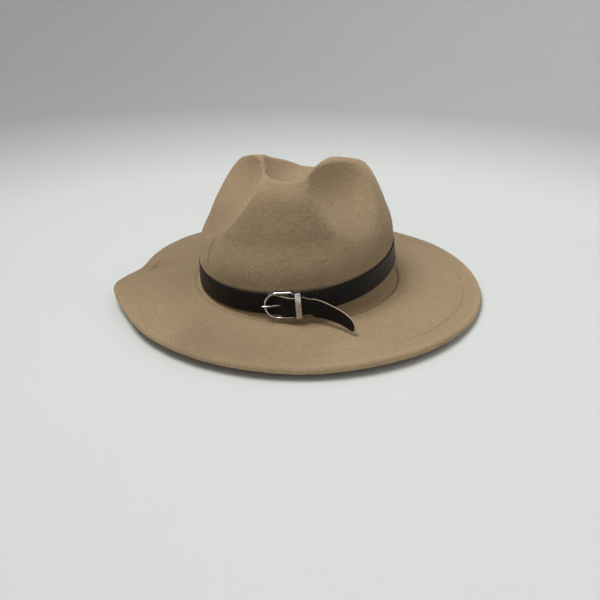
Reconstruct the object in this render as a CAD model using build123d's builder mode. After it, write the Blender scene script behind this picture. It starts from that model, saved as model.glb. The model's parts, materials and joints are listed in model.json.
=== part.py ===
"""Wide-brim felt hat with a centre crease and two front pinches, trimmed with a narrow buckled belt.

Frame: millimetres, +Z up, Z = 0 on the plane the brim rests on, origin at the centre of the head
opening. -Y is the front of the hat, where the pinches and the buckle are. +X is the wearer's left.
Ellipses are given by their half width along X and half length along Y, named ..._X and ..._Y.
"""

from build123d import *

import os
from math import cos, hypot, pi, radians, sin

os.makedirs("parts", exist_ok=True)

# ---------------------------------------------------------------- felt dimensions
FELT = 2.6  # felt thickness
OVERLAP = 0.001  # bite between stacked bodies, so that they join
BRIM_X, BRIM_Y = 160.0, 174.0  # brim edge
EDGE_H = 6.0  # thickness of the turned-under brim edge
EDGE_MID = EDGE_H / 2
EDGE_FILLET = 2.45
EDGE_INSET = 2.5  # from the brim edge in to the foot of the top slope
BREAK_X, BREAK_Y, BREAK_Z = 87.0, 103.0, 9.0  # where the brim meets the crown
BREAK_FILLET = 2.0
MOUTH_Z, MOUTH_EASE = 1.0, 0.2  # foot of the head opening's straight part, and its extra half width

HEM_W = 15.0  # width of the turned-under edge
HEM_TAPER = [(-0.5, 4.6), (1.1, HEM_W + 0.5)]  # hem's lower face: z, inset from the brim edge
SLIT, SLIT_IN = 0.3, HEM_W + 3  # gap between the hem's layers, and the inset of its inner end
WIRE_IN = 3.4  # brim wire, inset from the brim edge
WIRE_R, TUNNEL_R = 0.8, 1.4  # brim wire, and the fold it lies in

# crown outside: z, half width, half length
CROWN = [
    (7.0, 87.2, 103.2),
    (20.0, 86.1, 101.7),
    (38.0, 84.0, 98.6),
    (55.0, 80.3, 93.8),
    (74.0, 75.0, 87.0),
    (92.0, 67.0, 78.0),
    (101.0, 61.5, 71.5),
    (109.0, 54.5, 63.5),
    (114.0, 48.5, 56.8),
    (117.5, 41.0, 48.8),
    (119.5, 31.0, 38.0),
]

# centre crease, a bent round trough: the arc of its floor and the trough's own radius
CREASE_ARC, CREASE_R = 240.0, 29.0
CREASE_PLANE = Plane(origin=(0, 30.0, 329.0), x_dir=(0, 1, 0), z_dir=(1, 0, 0))

# front pinches: a ball pushed in along a direction, mirrored left and right
PINCH_AT = Vector(41.0, -58.0, 86.0)
PINCH_DIR = Vector(0.672, -0.449, 0.589).normalized()
PINCH_R, PINCH_SAG = 77.0, 10.0
PINCH_BALL = PINCH_AT + PINCH_DIR * (PINCH_R - PINCH_SAG)
PINCH_CENTRES = [(side * PINCH_BALL.X, PINCH_BALL.Y, PINCH_BALL.Z) for side in (1, -1)]


# ---------------------------------------------------------------- helpers
def save(part, name):
    """Label a piece and write its STEP file."""
    part.label = name
    export_step(part, f"parts/{name}.step")


def between(first, second, share):
    """Point a share of the way from first to second."""
    return tuple(start + (end - start) * share for start, end in zip(first, second))


def brim_inset(inset):
    """Half width and half length of the brim edge moved in by inset."""
    return BRIM_X - inset, BRIM_Y - inset


def brim_top(half_x):
    """Height of the brim's top where its half width is half_x."""
    foot_x = BRIM_X - EDGE_INSET
    return EDGE_H + (BREAK_Z - EDGE_H) * (foot_x - half_x) / (foot_x - BREAK_X)


HEM_Z = brim_top(BRIM_X - HEM_W) - FELT  # brim's underside at the hem


def underside(share):
    """Half width, half length and height of the brim's underside: 0 at the hem, 1 at the opening."""
    opening = (BREAK_X - FELT, BREAK_Y - FELT, BREAK_Z - FELT)
    return between((*brim_inset(HEM_W), HEM_Z), opening, share)


def inset_crown(depth):
    """The crown's sections moved in by depth, square to the wall."""
    sections = []
    for i, (z, half_x, half_y) in enumerate(CROWN):
        below = CROWN[max(i - 1, 0)]
        above = CROWN[min(i + 1, len(CROWN) - 1)]
        rise, run_x, run_y = (end - start for start, end in zip(below, above))
        slant_x, slant_y = hypot(rise, run_x), hypot(rise, run_y)
        sections.append((
            z + run_x / slant_x * depth,
            half_x - rise / slant_x * depth,
            half_y - rise / slant_y * depth,
        ))
    return sections


# ---------------------------------------------------------------- felt body
# The crown is a dome with a trough and two balls pressed in; the hollow is the same, one felt in.
with BuildPart() as crown_hollow:
    for z, half_x, half_y in inset_crown(FELT):
        with BuildSketch(Plane.XY.offset(z)):
            Ellipse(half_x, half_y)
    loft()
    with BuildSketch(Plane.XY.offset(MOUTH_Z)):
        Ellipse(BREAK_X - FELT + MOUTH_EASE, BREAK_Y - FELT + MOUTH_EASE)
    extrude(amount=BREAK_Z - MOUTH_Z)
    with Locations(CREASE_PLANE):
        Torus(CREASE_ARC - CREASE_R, CREASE_R + FELT, mode=Mode.SUBTRACT)
    for centre in PINCH_CENTRES:
        with Locations(centre):
            Sphere(PINCH_R + FELT, mode=Mode.SUBTRACT)

with BuildPart() as felt_body:
    # crown
    for z, half_x, half_y in CROWN:
        with BuildSketch(Plane.XY.offset(z)):
            Ellipse(half_x, half_y)
    loft()
    with Locations(CREASE_PLANE):
        Torus(CREASE_ARC - CREASE_R, CREASE_R, mode=Mode.SUBTRACT)
    for centre in PINCH_CENTRES:
        with Locations(centre):
            Sphere(PINCH_R, mode=Mode.SUBTRACT)
    # brim: the rounded edge, then the slope up to the crown
    with BuildPart(mode=Mode.PRIVATE) as brim:
        with BuildSketch():
            Ellipse(BRIM_X, BRIM_Y)
        extrude(amount=EDGE_H)
        fillet(brim.edges(), EDGE_FILLET)
        with BuildSketch(Plane.XY.offset(EDGE_H - OVERLAP)):
            Ellipse(*brim_inset(EDGE_INSET))
        with BuildSketch(Plane.XY.offset(BREAK_Z)):
            Ellipse(BREAK_X, BREAK_Y)
        loft(ruled=True)
    add(brim.part)
    # soft line where the brim turns up into the crown: the long edge at the break's height
    break_edges = [
        edge
        for edge in felt_body.edges()
        if abs(edge.center().Z - BREAK_Z) < 0.6 and edge.length > 100
    ]
    fillet(break_edges, BREAK_FILLET)
    # underside of the brim, inside the turned-under edge; the cut starts 1 mm below the hat
    with BuildSketch(Plane.XY.offset(-1)):
        Ellipse(*brim_inset(HEM_W))
    extrude(amount=1 + HEM_Z, mode=Mode.SUBTRACT)
    with BuildSketch(Plane.XY.offset(HEM_Z - OVERLAP)):
        Ellipse(*brim_inset(HEM_W))
    with BuildSketch(Plane.XY.offset(BREAK_Z - FELT)):
        Ellipse(BREAK_X - FELT, BREAK_Y - FELT)
    loft(ruled=True, mode=Mode.SUBTRACT)
    # the turned-under layer thins towards its raw edge, so the hat rests on the outer ring alone
    for z, inset in HEM_TAPER:
        with BuildSketch(Plane.XY.offset(z)):
            Ellipse(*brim_inset(inset))
    loft(ruled=True, mode=Mode.SUBTRACT)
    # gap between the two layers, out to the fold round the wire
    with BuildSketch(Plane.XY.offset(EDGE_MID - SLIT / 2)):
        Ellipse(*brim_inset(WIRE_IN))
        Ellipse(*brim_inset(SLIT_IN), mode=Mode.SUBTRACT)
    extrude(amount=SLIT, mode=Mode.SUBTRACT)
    with BuildLine(Plane.XY.offset(EDGE_MID)) as fold_line:
        EllipticalCenterArc((0, 0), *brim_inset(WIRE_IN), start_angle=0, arc_size=360)
    with BuildSketch(Plane(origin=(BRIM_X - WIRE_IN, 0, EDGE_MID), z_dir=(0, 1, 0))):
        Circle(TUNNEL_R)
    sweep(path=fold_line.line, mode=Mode.SUBTRACT)
    # hollow for the head
    add(crown_hollow.part, mode=Mode.SUBTRACT)
save(felt_body.part, "felt_body")

# ---------------------------------------------------------------- brim wire and its ferrule
WIRE_GAP = 0.6  # half the gap between the wire's two ends, at the back, degrees
FERRULE_L, FERRULE_OUT, FERRULE_BORE = 12, 1.25, 0.95  # length, outer and inner radius
FERRULE_IN = 0.05  # in from the back of the wire's line

with BuildPart() as brim_wire:
    with BuildLine(Plane.XY.offset(EDGE_MID)) as wire_line:
        EllipticalCenterArc(
            (0, 0),
            *brim_inset(WIRE_IN),
            start_angle=90 + WIRE_GAP,
            arc_size=360 - 2 * WIRE_GAP,
        )
    with BuildSketch(Plane(origin=wire_line.line @ 0, z_dir=wire_line.line % 0)):
        Circle(WIRE_R)
    sweep(path=wire_line.line)
save(brim_wire.part, "brim_wire")

with BuildPart() as wire_ferrule:
    ferrule_y = BRIM_Y - WIRE_IN - FERRULE_IN
    with BuildSketch(Plane(origin=(-FERRULE_L / 2, ferrule_y, EDGE_MID), z_dir=(1, 0, 0))):
        Circle(FERRULE_OUT)
        Circle(FERRULE_BORE, mode=Mode.SUBTRACT)
    extrude(amount=FERRULE_L)
save(wire_ferrule.part, "wire_ferrule")

# ---------------------------------------------------------------- stitching round the brim
THREAD_R = 0.35
TIE_R = THREAD_R * 0.8
TIE_GAP = 0.02  # between a tie's end and the thread
TIES = 24  # ties in each ring
THREAD_LIFT = 0.05  # needle thread's middle above the brim's top
HEM_SEAM_IN = 1.6  # seam, out from the hem's raw edge
HEM_SEAM_LOW = 0.95  # height of the bobbin thread
SWEAT_SEAM_OUT = 3.4  # seam, out from the break
SWEAT_SEAM_DROP = 1.0  # bobbin thread below the felt


def thread_ring(half_x, half_y, z_top, z_low):
    """Needle thread on top, bobbin thread below, and the ties between them through the felt."""
    with BuildPart() as thread:
        for z in (z_top, z_low):
            with BuildLine(Plane.XY.offset(z)) as line:
                EllipticalCenterArc((0, 0), half_x, half_y, start_angle=0, arc_size=360)
            with BuildSketch(Plane(origin=(half_x, 0, z), z_dir=(0, 1, 0))):
                Circle(THREAD_R)
            sweep(path=line.line)
        angles = [2 * pi * (i + 0.5) / TIES for i in range(TIES)]
        spots = [(half_x * cos(angle), half_y * sin(angle)) for angle in angles]
        with BuildSketch(Plane.XY.offset(z_low + THREAD_R + TIE_GAP)):
            with Locations(*spots):
                Circle(TIE_R)
        extrude(amount=z_top - z_low - 2 * (THREAD_R + TIE_GAP))
    return thread.part


seam_x, seam_y = brim_inset(HEM_W - HEM_SEAM_IN)
hem_stitching = thread_ring(seam_x, seam_y, brim_top(seam_x) + THREAD_LIFT, HEM_SEAM_LOW)
save(hem_stitching, "hem_stitching")

seam_x, seam_y = BREAK_X + SWEAT_SEAM_OUT, BREAK_Y + SWEAT_SEAM_OUT
seam_z = brim_top(seam_x)
sweatband_stitching = thread_ring(
    seam_x, seam_y, seam_z + THREAD_LIFT, seam_z - FELT - SWEAT_SEAM_DROP
)
save(sweatband_stitching, "sweatband_stitching")

# ---------------------------------------------------------------- sweatband
SWEAT_T, SWEAT_GAP = 0.8, 0.25  # thickness, and gap to the felt
SWEAT_LOW, SWEAT_HIGH = 6.0, 38.0  # lower and upper edge
WALL_SHORT = 0.6  # the straight wall stops this far below the upper edge
FLANGE_ENDS = (0.87, 0.995)  # flange's outer and inner edge, as shares along the brim's underside
FLANGE_GAP = 0.08  # gap to the brim's underside
FLANGE_TRIM, FLANGE_TRIM_H = 0.1, 20  # clearing cut inside the flange: inset and height
CORD_R, SLEEVE_IN, SLEEVE_OUT = 0.8, 1.0, 1.7  # sizing cord and the sleeve it runs in, radii
SLEEVE_CLEAR = 0.35  # sleeve's extra distance from the felt
SLEEVE_Z = SWEAT_HIGH + 1.2
SLEEVE_GAP = 4.2  # half the opening in the sleeve, degrees


def inside_at(height):
    """Half width and half length of the crown's inside at a height below its top."""
    rows = inset_crown(FELT)
    for low, high in zip(rows, rows[1:]):
        if height <= high[0]:
            return between(low[1:], high[1:], (height - low[0]) / (high[0] - low[0]))


def chord_at(z):
    """Straight line between the crown's inside at the sweatband's two edges."""
    share = (z - SWEAT_LOW) / (SWEAT_HIGH - SWEAT_LOW)
    return between(inside_at(SWEAT_LOW), inside_at(SWEAT_HIGH), share)


def band(z_low, z_high, gap, wall):
    """A straight-sided band inside the crown, gap in from the felt's chord and wall thick."""
    with BuildPart() as strip:
        for inset, mode in ((gap, Mode.ADD), (gap + wall, Mode.SUBTRACT)):
            for z in (z_low, z_high):
                half_x, half_y = chord_at(z)
                with BuildSketch(Plane.XY.offset(z)):
                    Ellipse(half_x - inset, half_y - inset)
            loft(ruled=True, mode=mode)
    return strip.part


SLEEVE_X, SLEEVE_Y = (
    half - SWEAT_GAP - SLEEVE_OUT - SLEEVE_CLEAR for half in inside_at(SWEAT_HIGH)
)

with BuildPart() as sweatband:
    add(band(SWEAT_LOW, SWEAT_HIGH - WALL_SHORT, SWEAT_GAP, SWEAT_T))
    # lower edge turned out under the brim, where it is sewn
    with BuildPart(mode=Mode.PRIVATE) as flange:
        for drop, mode in ((FLANGE_GAP, Mode.ADD), (FLANGE_GAP + SWEAT_T, Mode.SUBTRACT)):
            for share in FLANGE_ENDS:
                half_x, half_y, z = underside(share)
                with BuildSketch(Plane.XY.offset(z - drop)):
                    Ellipse(half_x, half_y)
            loft(ruled=True, mode=mode)
        half_x, half_y, z = underside(FLANGE_ENDS[1])
        with BuildSketch(Plane.XY):
            Ellipse(half_x - FLANGE_TRIM, half_y - FLANGE_TRIM)
        extrude(amount=FLANGE_TRIM_H, mode=Mode.SUBTRACT)
    add(flange.part)
    # sleeve rolled over the cord along the upper edge, open at the back
    with BuildLine(Plane.XY.offset(SLEEVE_Z)) as sleeve_line:
        EllipticalCenterArc(
            (0, 0),
            SLEEVE_X,
            SLEEVE_Y,
            start_angle=90 + SLEEVE_GAP,
            arc_size=360 - 2 * SLEEVE_GAP,
        )
    with BuildSketch(Plane(origin=sleeve_line.line @ 0, z_dir=sleeve_line.line % 0)):
        Circle(SLEEVE_OUT)
        Circle(SLEEVE_IN, mode=Mode.SUBTRACT)
    sweep(path=sleeve_line.line)
save(sweatband.part, "sweatband")

# ---------------------------------------------------------------- sizing cord and its bow
KNOT_R, KNOT_IN = 2.0, 3.1  # knot, and how far in from the cord's line at the back
# middle lines from the knot, x mirrored for the other side: x, y, z
BOW_LOOP = [
    (3.1, -0.6, 1.2), (8, -1.6, 3.4), (12.5, -2.6, 1.6), (9.5, -2.6, -1.6), (3.4, -1.2, -1.2),
]
BOW_END = [(1.6, -0.8, -3.2), (2.9, -1.4, -7), (5, -1.2, -13)]

with BuildPart() as sizing_cord:
    with BuildLine(Plane.XY.offset(SLEEVE_Z)) as cord_line:
        EllipticalCenterArc((0, 0), SLEEVE_X, SLEEVE_Y, start_angle=0, arc_size=360)
    with BuildSketch(Plane(origin=(SLEEVE_X, 0, SLEEVE_Z), z_dir=(0, 1, 0))):
        Circle(CORD_R)
    sweep(path=cord_line.line)
    knot = Vector(0, SLEEVE_Y - KNOT_IN, SLEEVE_Z)
    with Locations(knot):
        Sphere(KNOT_R)
    for side in (1, -1):
        for offsets in (BOW_LOOP, BOW_END):
            with BuildLine() as strand:
                Spline(*[knot + (side * x, y, z) for x, y, z in offsets])
            with BuildSketch(Plane(origin=strand.line @ 0, z_dir=strand.line % 0)):
                Circle(CORD_R)
            sweep(path=strand.line)
save(sizing_cord.part, "sizing_cord")

# ---------------------------------------------------------------- size label, on the sweatband at the back
LABEL_LOW, LABEL_HIGH = 15.0, 31.0
LABEL_T, LABEL_GAP = 0.3, 0.1  # thickness, and gap to the sweatband
LABEL_W, LABEL_X = 26, -30  # width and middle, across the hat

with BuildPart() as size_label:
    add(band(LABEL_LOW, LABEL_HIGH, SWEAT_GAP + SWEAT_T + LABEL_GAP, LABEL_T))
    # keep only the stretch inside a box taller and deeper than the label
    with Locations((LABEL_X, 90, (LABEL_LOW + LABEL_HIGH) / 2)):
        Box(LABEL_W, 60, 30, mode=Mode.INTERSECT)
save(size_label.part, "size_label")

# ---------------------------------------------------------------- belt dimensions
# Places on the belt are (along, out): along the strap towards +X from the front centre line, or
# from the buckle's centre for the ..._AT values and tables, and out from the belt's inside.
BELT_W, BELT_T = 16.2, 1.3  # strap width and thickness
STRAP_MID = BELT_T / 2
BELT_X, BELT_Y = 87.6, 103.1  # belt's inside, lower edge
TAPER_X, TAPER_Y = 0.984, 0.981  # upper edge against lower edge
RISE_X, RISE_Y = 0.073, 0.070  # slope of the belt up to +X and up to the back
BELT = Plane(
    origin=(0, -0.7, 21.75),  # middle of the lower edge
    x_dir=(1, 0, RISE_X),
    z_dir=(-RISE_X, -RISE_Y, 1),
)
BELT_ROUND = 2 * pi * BELT_X  # once round the belt, as along counts it
FRONT_R = 74  # belt's radius of curvature at the front

BUCKLE_AT = 7.0  # buckle's centre, from the front centre line
BUCKLE_DROP = 0.7  # buckle and keeper below the strap's middle
BAR_AT, BAR_OUT, BAR_R = 10.1, 2.55, 0.8  # buckle's bar, and radius of all its wire
BAR_LIFT = BAR_OUT - BAR_AT**2 / 2 / FRONT_R  # the bar in the buckle's own flat frame
KEEPER_AT = 13.6
TAIL_AT, TAIL_OUT = 23.0, 3.95  # where the free end leaves the belt

# middle of the strap: along, out
TURN_R = 1.85  # the strap's turn round the bar
FOLD_BACK = [(29, 0.70), (20, 0.70), (14, 0.72)]
FOLD_FRONT = [
    (13.5, 3.5), (16.5, 2.5), (20, 2.15), (26, 2.12), (31, 1.95), (38, 0.85), (44, STRAP_MID),
]
AROUND_SHORT, AROUND_STEPS = 74, 60  # the plain run is this much short of a full round
OVERLAY = [
    (-24, STRAP_MID), (-17, STRAP_MID), (-11, STRAP_MID), (-6.5, 0.70), (-3, 1.2), (0, 2.2),
    (3, 3.65), (6, 5.05), (8.5, 5.75), (10, 5.85), (12.5, 5.55), (16, 4.5),
    (19.5, TAIL_OUT + 0.05), (TAIL_AT - 0.2, TAIL_OUT),
]

EYE_SLOT = (12, 4.2)  # overall length and width
PRONG_HOLE, PRONG_HOLE_AT = (9.0, 2.2), -1.6


# ---------------------------------------------------------------- belt helpers
def on_belt(along, out, high=False):
    """Point in the plane of the belt's lower edge, or of its upper edge if high."""
    half_x = BELT_X * (TAPER_X if high else 1)
    half_y = BELT_Y * (TAPER_Y if high else 1)
    angle = along / BELT_X
    normal_x, normal_y = half_y * sin(angle), -half_x * cos(angle)
    length = hypot(normal_x, normal_y)
    return (
        half_x * sin(angle) + out * normal_x / length,
        -half_y * cos(angle) + out * normal_y / length,
    )


def belt_frame(along):
    """Plane on the belt's inside: x along the strap, y up the strap, z out from the crown."""
    low = Vector(*on_belt(along, 0), 0)
    high = Vector(*on_belt(along, 0, True), BELT_W)
    ahead = (Vector(*on_belt(along + 0.5, 0), 0) - Vector(*on_belt(along - 0.5, 0), 0)).normalized()
    outward = ahead.cross((high - low).normalized()).normalized()
    centre = (low + high) / 2
    origin = BELT.from_local_coords(centre)
    return Plane(
        origin=origin,
        x_dir=BELT.from_local_coords(centre + ahead) - origin,
        z_dir=BELT.from_local_coords(centre + outward) - origin,
    )


def smooth(points, steps, start):
    """Points spread evenly along a spline through points, which count along from start."""
    with BuildLine() as line:
        Spline(*[(start + along, out) for along, out in points])
    spread = [line.line @ (i / steps) for i in range(steps + 1)]
    return [(point.X, point.Y) for point in spread]


def strap_faces(path, high):
    """Both faces of a strap whose middle follows path."""
    outer, inner = [], []
    for i, (along, out) in enumerate(path):
        along_0, out_0 = path[max(i - 1, 0)]
        along_1, out_1 = path[min(i + 1, len(path) - 1)]
        step_along, step_out = along_1 - along_0, out_1 - out_0
        length = hypot(step_along, step_out)
        shift_along = -step_out / length * BELT_T / 2
        shift_out = step_along / length * BELT_T / 2
        outer.append(on_belt(along + shift_along, out + shift_out, high))
        inner.append(on_belt(along - shift_along, out - shift_out, high))
    return outer, inner


def loft_strap(edges):
    """Strap lofted between two edges, each (height over the belt's plane, (face, other face))."""
    with BuildPart() as body:
        for height, (one, other) in edges:
            with BuildSketch(BELT.offset(height)):
                with BuildLine():
                    Spline(*one)
                    Line(one[-1], other[-1])
                    Spline(*other[::-1])
                    Line(other[0], one[0])
                make_face()
        loft(ruled=True)
    return body.part


BUCKLE = belt_frame(BUCKLE_AT)
KEEPER = belt_frame(BUCKLE_AT + KEEPER_AT)

# ---------------------------------------------------------------- belt strap
# folded end behind, turn round the bar and front layer; then round the crown, under the buckle's
# round end, over the bar and on through the keeper
strap_path = smooth(FOLD_BACK, 8, BUCKLE_AT)[:-1]
strap_path += [
    (BUCKLE_AT + BAR_AT - TURN_R * sin(radians(angle)), BAR_OUT - TURN_R * cos(radians(angle)))
    for angle in range(0, 181, 20)
]
strap_path += smooth(FOLD_FRONT, 16, BUCKLE_AT)
around_start = BUCKLE_AT + FOLD_FRONT[-1][0]
strap_path += [
    (around_start + (BELT_ROUND - AROUND_SHORT) * i / AROUND_STEPS, STRAP_MID)
    for i in range(1, AROUND_STEPS)
]
strap_path += smooth(OVERLAY, 40, BELT_ROUND + BUCKLE_AT)

with BuildPart() as belt_strap:
    add(loft_strap([(0, strap_faces(strap_path, False)), (BELT_W, strap_faces(strap_path, True))]))
    # slot in the fold for the prong's eye
    with BuildSketch(BUCKLE):
        with Locations((BAR_AT, -BUCKLE_DROP)):
            SlotOverall(*EYE_SLOT)
    extrude(amount=BAR_LIFT + 2.0, mode=Mode.SUBTRACT)
    # hole for the prong
    with BuildSketch(BUCKLE):
        with Locations((PRONG_HOLE_AT, -BUCKLE_DROP)):
            SlotOverall(*PRONG_HOLE)
    extrude(amount=6, both=True, mode=Mode.SUBTRACT)
save(belt_strap.part, "belt_strap")

# ---------------------------------------------------------------- buckle: horseshoe wire with its straight bar
ROUND_END_AT = -11.0
FRAME_HALF, FRAME_CORNER = 9.9, 1.3  # half width, and bend radius at the bar's ends
FRAME_TIP = radians(2.5)  # how far the round end stands out
FRAME = Plane(
    origin=BUCKLE.from_local_coords(
        Vector(BAR_AT * (1 - cos(FRAME_TIP)), -BUCKLE_DROP, BAR_LIFT + BAR_AT * sin(FRAME_TIP))
    ),
    x_dir=BUCKLE.x_dir * cos(FRAME_TIP) - BUCKLE.z_dir * sin(FRAME_TIP),
    z_dir=BUCKLE.z_dir * cos(FRAME_TIP) + BUCKLE.x_dir * sin(FRAME_TIP),
)


def frame_point(x, y):
    return FRAME.from_local_coords(Vector(x, y, 0))


def across(x, y):
    """Plane square to the buckle's long sides, looking along them."""
    return Plane(origin=frame_point(x, y), x_dir=FRAME.y_dir, z_dir=FRAME.x_dir)


def across_bar(y):
    """Plane square to the bar, looking along it."""
    return Plane(origin=frame_point(BAR_AT, y), x_dir=FRAME.x_dir, z_dir=FRAME.y_dir)


with BuildPart() as buckle_frame:
    bend_x = ROUND_END_AT + FRAME_HALF
    corner_x = BAR_AT - FRAME_CORNER
    # long sides
    for y in (FRAME_HALF, -FRAME_HALF):
        with BuildSketch(across(bend_x, y)):
            Circle(BAR_R)
        extrude(amount=corner_x - bend_x)
    # round end
    with BuildSketch(across(bend_x, FRAME_HALF)):
        Circle(BAR_R)
    revolve(axis=Axis(frame_point(bend_x, 0), FRAME.z_dir), revolution_arc=180)
    # corners
    for y, turn in ((FRAME_HALF, -1), (-FRAME_HALF, 1)):
        pivot = frame_point(corner_x, y + turn * FRAME_CORNER)
        with BuildSketch(across(corner_x, y)):
            Circle(BAR_R)
        revolve(axis=Axis(pivot, FRAME.z_dir * turn), revolution_arc=90)
    # bar
    with BuildSketch(across_bar(FRAME_CORNER - FRAME_HALF)):
        Circle(BAR_R)
    extrude(amount=2 * (FRAME_HALF - FRAME_CORNER))
save(buckle_frame.part, "buckle_frame")

# ---------------------------------------------------------------- prong: eye round the bar, shank up through the strap, tip on the round end
PRONG_R, EYE_BORE_R, EYE_R = 0.65, 0.85, 1.45
EYE_W, EYE_BORE_L = 2.6, 6  # eye's width, and length of the cut for its bore
# shank's middle line in the buckle's frame: x, z
SHANK = [
    (BAR_AT - 0.8, -0.7), (5.0, -1.25), (0.5, -1.0), (-3.0, -0.1), (-6.5, 1.05), (-9.3, 1.6),
    (ROUND_END_AT - 1.6, 1.5),
]

with BuildPart() as buckle_prong:
    with BuildSketch(across_bar(-EYE_W / 2)):
        Circle(EYE_R)
    extrude(amount=EYE_W)
    with BuildLine(FRAME) as shank:
        Spline(*[(x, 0, z) for x, z in SHANK])
    with BuildSketch(Plane(origin=shank.line @ 0, z_dir=shank.line % 0)):
        Circle(PRONG_R)
    sweep(path=shank.line)
    with Locations(shank.line @ 1):
        Sphere(PRONG_R)
    with BuildSketch(across_bar(-EYE_BORE_L / 2)):
        Circle(EYE_BORE_R)
    extrude(amount=EYE_BORE_L, mode=Mode.SUBTRACT)
save(buckle_prong.part, "buckle_prong")

# ---------------------------------------------------------------- keeper loop
KEEPER_W, KEEPER_T = 4.2, 0.6
KEEPER_HALF, KEEPER_LOW, KEEPER_TOP = 9.7, -0.3, 6.7  # inside of the loop
KEEPER_OUT_R, KEEPER_IN_R = 1.6, 1.0  # corner radii

with BuildPart() as keeper_loop:
    keeper_start = KEEPER.from_local_coords(Vector(-KEEPER_W / 2, 0, 0))
    with BuildSketch(Plane(origin=keeper_start, x_dir=KEEPER.y_dir, z_dir=KEEPER.x_dir)):
        width, height = 2 * KEEPER_HALF, KEEPER_TOP - KEEPER_LOW
        with Locations((-BUCKLE_DROP, (KEEPER_TOP + KEEPER_LOW) / 2)):
            RectangleRounded(width + 2 * KEEPER_T, height + 2 * KEEPER_T, KEEPER_OUT_R)
            RectangleRounded(width, height, KEEPER_IN_R, mode=Mode.SUBTRACT)
    extrude(amount=KEEPER_W)
save(keeper_loop.part, "keeper_loop")

# ---------------------------------------------------------------- free end of the strap
TAIL_EDGES = (-14.0, 22.0)  # heights of the blank's edges over the belt's plane
TAIL_STEPS = 16
TAIL_LINE = [(38.0, -100.2), (45.0, -102.6), (52.0, -106.6), (63.0, -114.2)]  # x, y after the exit
TAIL_END_DIR = (1, -0.75)
# side outline: x, z
TAIL_UNDER = [(20, 16.2), (31.2, 15.9), (38, 13.7), (45, 12.0), (53, 10.3), (60.5, 9.7)]
TAIL_TIP = [(60.5, 9.7), (63.2, 10.9), (62.6, 13.8)]
TAIL_OVER = [
    (62.6, 13.8), (56, 18.8), (48, 23.0), (42, 26.6), (36, 29.8), (31.2, 31.6), (20, 33.0),
]

tail_start = BUCKLE_AT + TAIL_AT
tail_exit = Vector(*on_belt(tail_start, TAIL_OUT))
tail_lean = Vector(*on_belt(tail_start, TAIL_OUT, True)) - tail_exit
exit_dir = Vector(*on_belt(tail_start + 0.5, TAIL_OUT)) - Vector(*on_belt(tail_start - 0.5, TAIL_OUT))
with BuildLine() as tail_line:
    Spline(tail_exit, *TAIL_LINE, tangents=(exit_dir, TAIL_END_DIR))


def tail_faces(height):
    """Both faces of the tail at a height; its lean fades out towards the tip."""
    one, other = [], []
    for i in range(TAIL_STEPS + 1):
        share = i / TAIL_STEPS
        point, ahead = tail_line.line @ share, tail_line.line % share
        lean = (1 - share) * height / BELT_W
        x, y = point.X + tail_lean.X * lean, point.Y + tail_lean.Y * lean
        shift_x, shift_y = -ahead.Y * BELT_T / 2, ahead.X * BELT_T / 2
        one.append((x + shift_x, y + shift_y))
        other.append((x - shift_x, y - shift_y))
    return one, other


with BuildPart() as belt_tail:
    add(loft_strap([(height, tail_faces(height)) for height in TAIL_EDGES]))
    # it droops towards the brim and narrows to a rounded end
    with BuildSketch(Plane.XZ):
        with BuildLine():
            Spline(*TAIL_UNDER)
            Spline(*TAIL_TIP)
            Spline(*TAIL_OVER)
            Line(TAIL_OVER[-1], TAIL_UNDER[0])
        make_face()
    extrude(amount=200, both=True, mode=Mode.INTERSECT)
save(belt_tail.part, "belt_tail")

# ---------------------------------------------------------------- stitches through the fold
SEAMS_AT, STITCH_ROWS = (24.6, 27.4), (-5.2, 0, 5.2)  # along, and up the strap
STITCH_OUT = 1.4  # middle of a stitch, out from the belt's inside
STITCH_L, STITCH_H, STITCH_T = 4.2, 3.5, 0.4  # loop's outside and thread thickness
STITCH_W = 0.5  # along the strap
STITCH_OUT_R, STITCH_IN_R = 0.7, 0.35  # corner radii

with BuildPart() as fold_stitching:
    for seam_at in SEAMS_AT:
        seam = belt_frame(BUCKLE_AT + seam_at)
        for y in STITCH_ROWS:
            stitch_start = seam.from_local_coords(Vector(-STITCH_W / 2, y, STITCH_OUT))
            with BuildSketch(Plane(origin=stitch_start, x_dir=seam.y_dir, z_dir=seam.x_dir)):
                RectangleRounded(STITCH_L, STITCH_H, STITCH_OUT_R)
                RectangleRounded(
                    STITCH_L - 2 * STITCH_T,
                    STITCH_H - 2 * STITCH_T,
                    STITCH_IN_R,
                    mode=Mode.SUBTRACT,
                )
            extrude(amount=STITCH_W)
save(fold_stitching.part, "fold_stitching")
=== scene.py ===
"""Wool felt hat with a pinched crown, an inner sweatband and a buckled leather belt.

The hat rests on z = 0 with its front towards -Y, so the wearer's left is +X and right is -X.
Everything is worked out in millimetres; make_mesh turns it into metres.
Ellipses about the Z axis are given by half width (X) and half length (Y).
"""

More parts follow.
